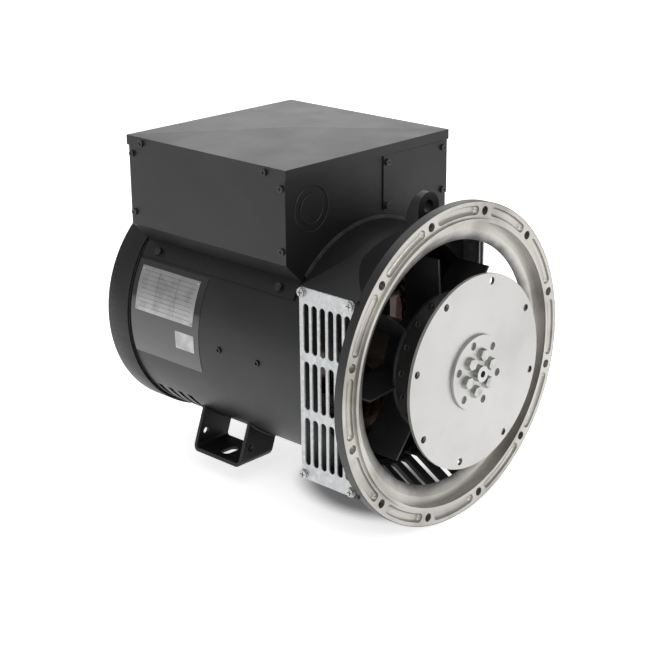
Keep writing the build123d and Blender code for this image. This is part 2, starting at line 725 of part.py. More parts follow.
# ================================================================ exciter
def exciter_stator():
    """The exciter's field core."""
    core = ring(EXCITER_R, EXCITER_BORE_R, *EXCITER_Y)
    cutter = block(-FIELD_SLOT_W / 2, FIELD_SLOT_W / 2, EXCITER_Y[0] - 1, EXCITER_Y[1] + 1,
                   EXCITER_BORE_R - 2, EXCITER_BORE_R + FIELD_SLOT_DEPTH)
    for slot in pattern(cutter, FIELD_SLOTS):
        core -= slot
    return core


def exciter_field_coils():
    """Rings of wire on both faces of the field core."""
    inner = EXCITER_BORE_R + 3
    return [ring(inner + COIL_BAND, inner, *span) for span in coil_spans(FIELD_COIL_REACH)]


def coil_spans(reach):
    """Where the end turns lie along Y, on both faces of the exciter's cores."""
    return ((EXCITER_Y[0] - reach[0], EXCITER_Y[0]), (EXCITER_Y[1], EXCITER_Y[1] + reach[1]))


def exciter_armature():
    """The exciter's rotating core, on the shaft."""
    core = ring(EXCITER_BORE_R - EXCITER_GAP, SHAFT_R + RUN_FIT, *EXCITER_Y)
    cutter = block(-ARMATURE_SLOT_W / 2, ARMATURE_SLOT_W / 2, EXCITER_Y[0] - 1, EXCITER_Y[1] + 1,
                   EXCITER_BORE_R - ARMATURE_SLOT_DEPTH, EXCITER_BORE_R + 2)
    for slot in pattern(cutter, ARMATURE_SLOTS):
        core -= slot
    return core


def armature_coils():
    """The armature's end turns."""
    outer = EXCITER_BORE_R - 5
    return [ring(outer, outer - COIL_BAND, *span) for span in coil_spans(ARMATURE_COIL_REACH)]


def rectifier_plate():
    """The plate that carries the diodes."""
    return ring(RECTIFIER_R, SHAFT_R + RUN_FIT, RECTIFIER_Y, RECTIFIER_Y + RECTIFIER_T)


def rectifier_diodes():
    """Stud diodes on the plate."""
    made = []
    for k in range(DIODES):
        x, z = around(360.0 * k / DIODES, (RECTIFIER_R + SHAFT_R) / 2)
        face = RECTIFIER_Y + RECTIFIER_T
        body = rod(DIODE_R, face, face + DIODE_H, x, z)
        made.append(body + rod(DIODE_TIP_R, face + DIODE_H, face + DIODE_H + DIODE_TIP_H, x, z))
    return made


# ================================================================ rotor
def shaft():
    """The stepped shaft, from the front stub to the bearing journal."""
    disc_back = DISC_FACE_Y + DISCS * DISC_T
    body = rod(SHAFT_STUB_R, SHAFT_STUB_Y, disc_back)
    body += rod(SHAFT_DRIVE_R, disc_back, SHAFT_SHOULDER_Y)
    body += rod(SHAFT_R, SHAFT_SHOULDER_Y, BEARING_Y - 6)
    body += rod(BEARING_BORE / 2 + 2, BEARING_Y - 6, BEARING_Y)
    body += rod(BEARING_BORE / 2 - RUN_FIT / 5, BEARING_Y, BEARING_Y + BEARING_W)
    body -= rod(CENTRE_HOLE_R, SHAFT_STUB_Y - 1, SHAFT_STUB_Y + CENTRE_HOLE_L)
    for k in range(HUB_BOLTS):
        x, z = around(HUB_BOLT_PHASE + 360.0 * k / HUB_BOLTS, HUB_BOLT_RING_R)
        body -= rod(HUB_BOLT_R + THIN_GAP, disc_back - 1, disc_back + HUB_BOLT_L, x, z)
    return body


def rotor_core():
    """Four salient poles on a common hub."""
    core = rod(ROTOR_HUB_R, *CORE_Y)
    face_r = CORE_BORE_R - AIR_GAP
    pole = block(-POLE_W / 2, POLE_W / 2, *CORE_Y, 20, face_r - POLE_SHOE_T + 1)
    shoe = strip(-POLE_SHOE_HALF, POLE_SHOE_HALF, face_r, face_r - POLE_SHOE_T, *CORE_Y)
    for k in range(POLES):
        core += spun(pole & rod(face_r - 1, *CORE_Y), 360.0 * k / POLES)
        core += spun(shoe, 360.0 * k / POLES)
    return core - rod(SHAFT_R + RUN_FIT, CORE_Y[0] - 1, CORE_Y[1] + 1)


def rotor_coils():
    """One field coil round each pole."""
    inner_w = POLE_W / 2 + SEAT_GAP
    outer_w = inner_w + COIL_W
    inner_y = (CORE_Y[0] - 4, CORE_Y[1] + 4)
    outer_y = (CORE_Y[0] - COIL_REACH, CORE_Y[1] + COIL_REACH)
    coil = block(-outer_w, outer_w, *outer_y, *COIL_R)
    coil = fillet(coil.edges().filter_by(Axis.Z), COIL_W * 0.8)
    coil -= block(-inner_w, inner_w, *inner_y, COIL_R[0] - 1, COIL_R[1] + 1)
    coil &= rod(CORE_BORE_R - AIR_GAP - POLE_SHOE_T - SEAT_GAP, *outer_y)
    return pattern(coil, POLES)


def fan():
    """Hub, disc and flat radial blades."""
    hub_r = SHAFT_DRIVE_R + FAN_HUB_WALL
    body = rod(hub_r, *FAN_Y) + rod(FAN_DISC_R, FAN_Y[0], FAN_Y[0] + FAN_DISC_T)
    inner = block(-FAN_BLADE_T / 2, FAN_BLADE_T / 2, *FAN_Y, hub_r - 4, FAN_R)
    for blade in pattern(inner, FAN_BLADES, FAN_PHASE):
        body += blade
    body -= rod(SHAFT_DRIVE_R + RUN_FIT, FAN_Y[0] - 1, FAN_Y[1] + 1)
    hole_x, hole_z = around(0, FAN_HOLE_RING_R)
    phase = FAN_PHASE + 180.0 / FAN_HOLES
    for hole in pattern(rod(FAN_HOLE_R, FAN_Y[0] - 1, FAN_Y[0] + FAN_DISC_T + 1,
                            hole_x, hole_z), FAN_HOLES, phase):
        body -= hole
    return body


# ================================================================ coupling
def coupling_disc(y0):
    """One flexible sheet of the drive disc."""
    sheet = rod(DISC_R, y0, y0 + DISC_T) - rod(SHAFT_STUB_R + RUN_FIT, y0 - 1, y0 + DISC_T + 1)
    x, z = around(0, DISC_BOLT_R)
    for hole in pattern(rod(DISC_HOLE_R, y0 - 1, y0 + DISC_T + 1, x, z), DISC_HOLES, DISC_PHASE):
        sheet -= hole
    return sheet - hub_bolt_holes(y0 - 1, y0 + DISC_T + 1)


def hub_bolt_holes(y0, y1):
    """Clearance for the bolts at the hub."""
    x, z = around(0, HUB_BOLT_RING_R)
    holes = pattern(rod(HUB_BOLT_R + SCREW_GAP, y0, y1, x, z), HUB_BOLTS, HUB_BOLT_PHASE)
    joined = holes[0]
    for hole in holes[1:]:
        joined += hole
    return joined


def coupling_discs():
    """The pack of sheets, from the engine side back."""
    return [coupling_disc(DISC_FACE_Y + k * DISC_T) for k in range(DISCS)]


def clamp_plate():
    """The round plate that clamps the sheets to the shaft."""
    y0 = DISC_FACE_Y - CLAMP_T
    plate = ring(CLAMP_R, SHAFT_STUB_R + RUN_FIT, y0, DISC_FACE_Y)
    x, z = around(0, CLAMP_HOLE_RING_R)
    for hole in pattern(rod(CLAMP_HOLE_R, y0 - 1, DISC_FACE_Y + 1, x, z), CLAMP_HOLES,
                        HUB_BOLT_PHASE + 180.0 / CLAMP_HOLES):
        plate -= hole
    return plate - hub_bolt_holes(y0 - 1, DISC_FACE_Y + 1)


def hub_bolts():
    """Six hexagon bolts through the plate and the sheets into the shaft."""
    made = []
    for k in range(HUB_BOLTS):
        x, z = around(HUB_BOLT_PHASE + 360.0 * k / HUB_BOLTS, HUB_BOLT_RING_R)
        made.append(hex_bolt_y(x, z, DISC_FACE_Y - CLAMP_T, M8_AF, M8_HEAD_H, HUB_BOLT_R,
                               HUB_BOLT_L))
    return made


# ================================================================ feet
def foot(side):
    """A bent channel welded under the frame."""
    high = FOOT_TOP_Z
    section = Plane.YZ * (
        Pos((FOOT_Y[0] + FOOT_Y[1]) / 2, (high - FOOT_H) / 2)
        * Rectangle(FOOT_Y[1] - FOOT_Y[0], high + FOOT_H))
    outside = extrude(section, FRAME_R, dir=(1, 0, 0))
    outside = fillet(outside.edges().filter_by(Axis.X).group_by(Axis.Z)[0], FOOT_BEND_R)
    inner = Plane.YZ * (
        Pos((FOOT_Y[0] + FOOT_Y[1]) / 2, (high - FOOT_H + FOOT_T) / 2)
        * Rectangle(FOOT_Y[1] - FOOT_Y[0] - 2 * FOOT_T, high + FOOT_H - FOOT_T))
    inside = extrude(inner, FRAME_R, dir=(1, 0, 0))
    inside = fillet(inside.edges().filter_by(Axis.X).group_by(Axis.Z)[0], FOOT_BEND_R - FOOT_T)
    shift = FOOT_LEAN * (FOOT_H + high)
    outline = [(FOOT_X[0], -FOOT_H), (FOOT_X[1], -FOOT_H),
               (FOOT_X[1] - shift, high), (FOOT_X[0] - shift, high)]
    body = (outside - inside) & prism(outline, *FOOT_Y)
    body -= rod(FRAME_R + THIN_GAP, FOOT_Y[0] - 1, FOOT_Y[1] + 1)
    middle = (FOOT_Y[0] + FOOT_Y[1]) / 2
    half = FOOT_SLOT_L / 2 - FOOT_SLOT_R
    slot = block(FOOT_SLOT_X - half, FOOT_SLOT_X + half, middle - FOOT_SLOT_R,
                 middle + FOOT_SLOT_R, -FOOT_H - 1, -FOOT_H + FOOT_T + 1)
    for x in (FOOT_SLOT_X - half, FOOT_SLOT_X + half):
        slot += Pos(x, middle, -FOOT_H + FOOT_T / 2) * Cylinder(FOOT_SLOT_R, FOOT_T + 2)
    body -= slot
    body -= rod(FOOT_SIDE_HOLE_R, FOOT_Y[0] - 1, FOOT_Y[1] + 1, *FOOT_SIDE_HOLE)
    return body if side > 0 else mirrored(body)


# ================================================================ terminal box
def box_side():
    """The +X side of the box, with its bevel and the strip on the frame."""
    hw = BOX_HALF_W
    low = BOX_WAIST_Z
    t = BOX_T
    outline = [(hw, BOX_TOP_Z), (hw, low), (hw - BEVEL, low - BEVEL),
               (hw - BEVEL - t * 1.4, low - BEVEL), (hw - t, low + t * 0.4), (hw - t, BOX_TOP_Z)]
    y0, y1 = BOX_Y[0] + BOX_T, BOX_Y[1] - BOX_T
    panel = prism(outline, y0, y1)
    inner = FRAME_R + THIN_GAP
    panel -= rod(inner, y0 - 1, y1 + 1)
    panel += strip(SADDLE_ANGLE[0], SADDLE_ANGLE[1], inner + SADDLE_T, inner, y0, y1)
    for z in PANEL_SCREW_Z:
        for y in (BOX_Y[0] + PANEL_SCREW_IN, BOX_Y[1] - PANEL_SCREW_IN):
            panel -= Pos(hw, y, z) * Cylinder(M4_R + SCREW_GAP, 9, rotation=(0, 90, 0))
    for y in LID_SCREW_Y:
        panel -= Pos(hw, y, LID_SCREW_Z) * Cylinder(M4_R + SCREW_GAP, 9, rotation=(0, 90, 0))
    for y in SADDLE_BOLT_Y:
        panel -= saddle_axis(y) * Cylinder(M6_R + SCREW_GAP, 30)
    return panel


def saddle_axis(y):
    """The place of a saddle bolt, with its Z axis pointing away from the shaft."""
    x, z = around(SADDLE_BOLT_ANGLE, FRAME_R)
    return Pos(x, y, z) * Rot(0, SADDLE_BOLT_ANGLE, 0)


def saddle_bolts():
    """Short hexagon bolts that hold the box on the frame."""
    head_r = M6_AF / sqrt(3)
    made = []
    top = SADDLE_T + 2 * THIN_GAP
    for y in SADDLE_BOLT_Y:
        head = extrude(Pos(0, 0, top) * RegularPolygon(head_r, 6), M6_HEAD_H)
        shank = Pos(0, 0, (top - 1) / 2 + 0.5) * Cylinder(M6_R, top - 1 + THIN_GAP)
        bolt = saddle_axis(y) * (head + shank)
        made.append(bolt)
        made.append(mirrored(bolt))
    return made


def end_plate(y0, arch_r, holes):
    """A box end with its arch, its side flanges and its knockout holes."""
    hw = BOX_HALF_W - BOX_T - THIN_GAP
    low = BOX_WAIST_Z
    outline = [(-BOX_HALF_W, BOX_TOP_Z), (-BOX_HALF_W, low), (BEVEL - BOX_HALF_W, low - BEVEL),
               (BOX_HALF_W - BEVEL, low - BEVEL), (BOX_HALF_W, low), (BOX_HALF_W, BOX_TOP_Z)]
    plate = prism(outline, y0, y0 + BOX_T)
    front = y0 < (BOX_Y[0] + BOX_Y[1]) / 2
    inside = y0 + BOX_T if front else y0
    reach = LIP_W if front else -LIP_W
    for side in (-1, 1):
        lip = block(side * (hw - LIP_T), side * hw, inside, inside + reach,
                    low + LIP_ENDS[0], BOX_TOP_Z - LIP_ENDS[1])
        for z in PANEL_SCREW_Z:
            y = BOX_Y[0] + PANEL_SCREW_IN if front else BOX_Y[1] - PANEL_SCREW_IN
            lip -= Pos(side * hw, y, z) * Cylinder(M4_R + SCREW_GAP, 9, rotation=(0, 90, 0))
        plate += lip
    plate -= rod(arch_r, y0 - 1, y0 + BOX_T + 1)
    for x in holes:
        plate -= rod(KNOCKOUT_R[1], y0 - 1, y0 + BOX_T + 1, x, KNOCKOUT_Z)
    return plate


def box_end_drive():
    """The drive-side end, with the opening to the regulator."""
    plate = end_plate(BOX_Y[0], ARCH_R, (-KNOCKOUT_X,))
    return plate - block(*ACCESS_X, BOX_Y[0] - 1, BOX_Y[0] + BOX_T + 1, *ACCESS_Z)


def arch_seal():
    """The rubber edging between the end plate and the frame."""
    y0 = BOX_Y[0]
    section = ring(ARCH_R - THIN_GAP, FRAME_R + THIN_GAP, y0 - 1.5, y0 + BOX_T + 1.5)
    section += ring(ARCH_R + SEAL_LIP, ARCH_R - 1.5, y0 - 1.5, y0)
    return section & wedge(-SEAL_ANGLE, SEAL_ANGLE, ARCH_R + 3, y0 - 3, y0 + 8)


def box_end_rear():
    """The rear end, with two knockouts."""
    return end_plate(BOX_Y[1] - BOX_T, FRAME_R + SEAT_GAP, (-KNOCKOUT_X, KNOCKOUT_X))


def knockouts():
    """Ring and centre of each knockout."""
    made = []
    places = [(-KNOCKOUT_X, BOX_Y[0]), (-KNOCKOUT_X, BOX_Y[1] - BOX_T),
              (KNOCKOUT_X, BOX_Y[1] - BOX_T)]
    for x, y in places:
        outer = rod(KNOCKOUT_R[1] - THIN_GAP, y + 0.5, y + BOX_T, x, KNOCKOUT_Z)
        made.append(outer - rod(KNOCKOUT_R[0] + THIN_GAP, y - 1, y + BOX_T + 1, x, KNOCKOUT_Z))
        made.append(rod(KNOCKOUT_R[0], y - 0.2, y + BOX_T - 0.4, x, KNOCKOUT_Z))
    return made


def hip_roof(half_x, y0, y1, base_z, apex_z):
    """A low four-sided pyramid."""
    middle = (y0 + y1) / 2
    base = Pos(0, middle, base_z) * Rectangle(2 * half_x, y1 - y0)
    tip = Pos(0, middle, apex_z) * Rectangle(2.0, 2.0)
    return loft([base, tip], ruled=True)


def box_lid():
    """The pressed lid: skirt and hipped top."""
    body = block(-LID_HALF_W, LID_HALF_W, *LID_Y, SKIRT_Z, LID_EDGE_Z)
    body += hip_roof(LID_HALF_W, *LID_Y, LID_EDGE_Z, LID_APEX_Z)
    hw = LID_HALF_W - LID_T
    y0, y1 = LID_Y[0] + LID_T, LID_Y[1] - LID_T
    body -= block(-hw, hw, y0, y1, SKIRT_Z - 1, LID_EDGE_Z - LID_T)
    body -= hip_roof(hw, y0, y1, LID_EDGE_Z - LID_T, LID_APEX_Z - LID_T)
    for side in (-1, 1):
        for y in LID_SCREW_Y:
            body -= Pos(side * LID_HALF_W, y, LID_SCREW_Z) * Cylinder(
                M4_R + SCREW_GAP, 9, rotation=(0, 90, 0))
    return body


def lid_screws():
    """Screws through the skirt of the lid."""
    return [pan_screw_x(side, LID_HALF_W, y, LID_SCREW_Z, 7, M4_R, M4_HEAD_R, M4_HEAD_H)
            for side in (-1, 1) for y in LID_SCREW_Y]


def panel_screws():
    """Screws that join the sides and the ends of the box."""
    made = []
    for side in (-1, 1):
        for y in (BOX_Y[0] + PANEL_SCREW_IN, BOX_Y[1] - PANEL_SCREW_IN):
            for z in PANEL_SCREW_Z:
                if side > 0 and y < BOX_Y[0] + COVER_WRAP and z > COVER_Z[0]:
                    continue
                made.append(pan_screw_x(side, BOX_HALF_W, y, z, 6, M4_R, M4_HEAD_R, M4_HEAD_H))
    return made


def regulator_cover():
    """The bent plate over the regulator, round the corner of the box."""
    front_y = BOX_Y[0] - COVER_T
    outer_x = BOX_HALF_W + COVER_T
    body = block(COVER_X0, outer_x, front_y, BOX_Y[0], *COVER_Z)
    body += block(BOX_HALF_W, outer_x, front_y, front_y + COVER_WRAP, *COVER_Z)
    body = fillet(body.edges().filter_by(Axis.Z).group_by(Axis.X)[-1].group_by(Axis.Y)[0],
                  COVER_T)
    for x, z in cover_screw_places():
        body -= rod(M4_R + SCREW_GAP, front_y - 1, BOX_Y[0] + 1, x, z)
    return body


def cover_screw_places():
    """X and Z of the screws in the regulator cover."""
    return [(COVER_X0 + 7, COVER_Z[1] - 9), (BOX_HALF_W - 8, COVER_Z[1] - 9),
            (COVER_X0 + 7, COVER_Z[0] + 5), (BOX_HALF_W - 8, COVER_Z[0] + 5)]


def regulator_cover_screws():
    """Pan-head screws along Y."""
    made = []
    face = BOX_Y[0] - COVER_T
    for x, z in cover_screw_places():
        head = rod(M4_HEAD_R, face - M4_HEAD_H, face, x, z)
        shank = rod(M4_R, face, face + COVER_T, x, z)
        slot = block(x - M4_HEAD_R * 0.7, x + M4_HEAD_R * 0.7, face - M4_HEAD_H - 1,
                     face - M4_HEAD_H * 0.5, z - 0.6, z + 0.6)
        made.append(head + shank - slot)
    return made


# ================================================================ inside the box
def mounting_deck():
    """The cross rail that carries the regulator and the terminals."""
    hw = BOX_HALF_W - BOX_T - THIN_GAP
    deck = block(-hw, hw, *DECK_Y, DECK_TOP_Z - DECK_T, DECK_TOP_Z)
    for side in (-1, 1):
        deck += block(side * (hw - DECK_T), side * hw, *DECK_Y, DECK_TOP_Z, DECK_TOP_Z + DECK_LIP)
    return deck


def regulator():
    """The potted voltage regulator, with its heat fins."""
    top = DECK_TOP_Z + REGULATOR_H
    body = block(*REGULATOR_X, *REGULATOR_Y, DECK_TOP_Z, top)
    pitch = (REGULATOR_X[1] - REGULATOR_X[0]) / (FINS + 1)
    for k in range(FINS):
        x = REGULATOR_X[0] + (k + 1) * pitch - FIN_T / 2
        body += block(x, x + FIN_T, REGULATOR_Y[0] + FIN_IN, REGULATOR_Y[1] - FIN_IN,
                      top - 1, top + FIN_H)
    return body


def stud_pitch():
    """Distance between two terminals."""
    return (BLOCK_X[1] - BLOCK_X[0] - BARRIER_T) / STUDS


def terminal_block():
    """The moulded block for the main leads, with its barriers."""
    top = DECK_TOP_Z + BLOCK_H
    body = block(*BLOCK_X, *BLOCK_Y, DECK_TOP_Z, top)
    for k in range(STUDS + 1):
        x = BLOCK_X[0] + k * stud_pitch()
        body += block(x, x + BARRIER_T, *BLOCK_Y, top - 1, top + BARRIER_H)
    return body


def terminal_studs():
    """Brass studs with their nuts."""
    made = []
    top = DECK_TOP_Z + BLOCK_H
    y = sum(BLOCK_Y) / 2
    for k in range(STUDS):
        x = BLOCK_X[0] + BARRIER_T / 2 + (k + 0.5) * stud_pitch()
        stud = Pos(x, y, top + STUD_L / 2) * Cylinder(STUD_R, STUD_L)
        nut = extrude(Pos(x, y, top) * RegularPolygon(NUT_R, 6), NUT_H)
        made.append(stud + nut)
    return made


def lead_grommet():
    """The rubber ring in the frame's lead hole."""
    length = 2 * (FRAME_WALL + 2)
    bore_r = LEAD_HOLE_R - GROMMET_WALL
    place = Pos(0, LEAD_HOLE_Y, FRAME_R)
    sleeve = place * Cylinder(LEAD_HOLE_R - SEAT_GAP, length)
    collar = place * Pos(0, 0, length / 2 - 1.5) * Cylinder(LEAD_HOLE_R + GROMMET_WALL, 7)
    return sleeve + collar - place * Cylinder(bore_r, THROUGH * 1.5)


def lead(x, row):
    """One lead: out of the winding, up through the grommet and back to the block."""
    y = LEAD_HOLE_Y + (row - 0.5) * LEAD_PITCH
    low = LEAD_LOW_Z - row * LEAD_PITCH
    high = LEAD_HIGH_Z + row * (LEAD_PITCH + 1)
    body = rod(LEAD_R, CORE_Y[1] + WINDING_REACH, y, x, low)
    body += Pos(x, y, (low + high) / 2) * Cylinder(LEAD_R, high - low)
    body += rod(LEAD_R, BLOCK_Y[1], y, x, high)
    for z in (low, high):
        body += Pos(x, y, z) * Sphere(LEAD_R)
    return body


def stator_leads():
    """Two rows of leads."""
    return [lead(LEAD_X0 + k * LEAD_PITCH, row) for row in (0, 1) for k in range(3)]


# ================================================================ plates on the frame
def label_panel():
    """The bare backing label on the frame."""
    inner = FRAME_R + THIN_GAP
    return strip(LABEL_ANGLE[1], LABEL_ANGLE[0], inner + LABEL_T, inner, *LABEL_Y)


def rating_plate():
    """The blank metal plate on the label."""
    inner = FRAME_R + LABEL_T + 2 * THIN_GAP
    return strip(PLATE_ANGLE[1], PLATE_ANGLE[0], inner + PLATE_T, inner, *PLATE_Y)


def blank_tag():
    """The small blank tag under the plate."""
    inner = FRAME_R + LABEL_T + 2 * THIN_GAP
    return strip(TAG_ANGLE[1], TAG_ANGLE[0], inner + PLATE_T, inner, *TAG_Y)


# ================================================================ writing
def main():
    os.makedirs("parts", exist_ok=True)
    write("bracket_flange", bracket_half(True))
    write("bracket_cage", bracket_half(False))
    write("side_grille_left", side_grille_left())
    write("side_frame_right", side_frame_right())
    write("grille_screws", *grille_screws())
    write("outlet_baffles", *outlet_baffles())
    write("baffle_screws", *baffle_screws())
    write("stator_frame", stator_frame())
    write("frame_plugs", *frame_plugs())
    write("stator_core", stator_core())
    write("end_winding_drive", end_winding(CORE_Y[0] - WINDING_REACH, CORE_Y[0]))
    write("end_winding_rear", end_winding(CORE_Y[1], CORE_Y[1] + WINDING_REACH))
    write("rear_bracket", rear_bracket())
    write("rear_bracket_screws", *rear_bracket_screws())
    write("rear_cover", rear_cover())
    write("rear_cover_screws", *rear_cover_screws())
    write("bearing_outer_race", bearing_outer_race())
    write("bearing_inner_race", bearing_inner_race())
    write("bearing_balls", *balls(BALL_R))
    write("bearing_cage", bearing_cage())
    write("bearing_cap", bearing_cap())
    write("exciter_stator", exciter_stator())
    write("exciter_field_coils", *exciter_field_coils())
    write("exciter_armature", exciter_armature())
    write("armature_coils", *armature_coils())
    write("rectifier_plate", rectifier_plate())
    write("rectifier_diodes", *rectifier_diodes())
    write("shaft", shaft())
    write("rotor_core", rotor_core())
    write("rotor_coils", *rotor_coils())
    write("fan", fan())
    write("coupling_discs", *coupling_discs())
    write("clamp_plate", clamp_plate())
    write("hub_bolts", *hub_bolts())
    write("foot_left", foot(-1))
    write("foot_right", foot(1))
    write("box_side_right", box_side())
    write("box_side_left", mirrored(box_side()))
    write("saddle_bolts", *saddle_bolts())
    write("box_end_drive", box_end_drive())
    write("box_end_rear", box_end_rear())
    write("arch_seal", arch_seal())
    write("knockouts", *knockouts())
    write("box_lid", box_lid())
    write("lid_screws", *lid_screws())
    write("panel_screws", *panel_screws())
    write("regulator_cover", regulator_cover())
    write("regulator_cover_screws", *regulator_cover_screws())
    write("mounting_deck", mounting_deck())
    write("regulator", regulator())
    write("terminal_block", terminal_block())
    write("terminal_studs", *terminal_studs())
    write("lead_grommet", lead_grommet())
    write("stator_leads", *stator_leads())
    write("label_panel", label_panel())
    write("rating_plate", rating_plate())
    write("blank_tag", blank_tag())


main()
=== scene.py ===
"""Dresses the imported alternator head: finishes, welds, rivets, wire, floor, light and camera."""

import json
import logging
import math
from collections.abc import Callable, Iterable, Sequence
from dataclasses import dataclass, field
from enum import Enum

import bpy
from mathutils import Matrix, Vector

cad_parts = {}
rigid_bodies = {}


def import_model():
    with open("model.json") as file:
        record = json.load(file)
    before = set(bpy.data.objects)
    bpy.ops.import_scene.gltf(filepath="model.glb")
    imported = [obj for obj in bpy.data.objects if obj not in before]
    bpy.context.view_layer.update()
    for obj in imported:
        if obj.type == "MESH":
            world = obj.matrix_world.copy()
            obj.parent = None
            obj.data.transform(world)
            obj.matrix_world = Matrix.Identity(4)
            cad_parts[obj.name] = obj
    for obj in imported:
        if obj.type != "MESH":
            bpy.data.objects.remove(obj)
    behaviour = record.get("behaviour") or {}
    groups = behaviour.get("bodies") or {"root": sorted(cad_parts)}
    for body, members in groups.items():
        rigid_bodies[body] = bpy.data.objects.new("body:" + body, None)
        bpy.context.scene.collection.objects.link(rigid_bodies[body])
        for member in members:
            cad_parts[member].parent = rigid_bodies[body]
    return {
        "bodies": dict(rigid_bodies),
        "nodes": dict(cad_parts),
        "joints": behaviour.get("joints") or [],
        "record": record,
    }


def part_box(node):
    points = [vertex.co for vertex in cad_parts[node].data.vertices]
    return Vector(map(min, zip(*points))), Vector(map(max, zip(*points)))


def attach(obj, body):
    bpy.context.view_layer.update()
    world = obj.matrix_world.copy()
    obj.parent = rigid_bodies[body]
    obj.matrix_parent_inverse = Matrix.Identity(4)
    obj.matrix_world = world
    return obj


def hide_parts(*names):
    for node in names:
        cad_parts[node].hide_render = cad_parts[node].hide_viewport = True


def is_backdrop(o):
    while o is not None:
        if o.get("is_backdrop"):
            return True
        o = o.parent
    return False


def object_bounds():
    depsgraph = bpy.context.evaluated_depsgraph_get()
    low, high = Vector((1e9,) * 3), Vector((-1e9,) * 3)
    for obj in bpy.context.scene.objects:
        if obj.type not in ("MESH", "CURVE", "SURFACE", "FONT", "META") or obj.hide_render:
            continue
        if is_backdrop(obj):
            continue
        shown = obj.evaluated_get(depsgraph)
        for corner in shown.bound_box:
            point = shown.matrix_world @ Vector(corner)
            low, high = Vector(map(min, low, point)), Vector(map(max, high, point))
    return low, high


LOG = logging.getLogger("alternator")
MM = 0.001

Colour = tuple[float, float, float]
Point = tuple[float, float, float]


class Body(Enum):
    """The bodies that a piece can ride on."""

    STILL = "stator"
    TURNING = "rotor"


class Slot(Enum):
    """The record's material slots that added pieces take."""

    POWDER = "powder_black"
    ZINC = "zinc_steel"
    BLACK = "black_steel"
    COPPER = "copper_varnish"
    LABEL = "label_black"
    SILVER = "label_silver"


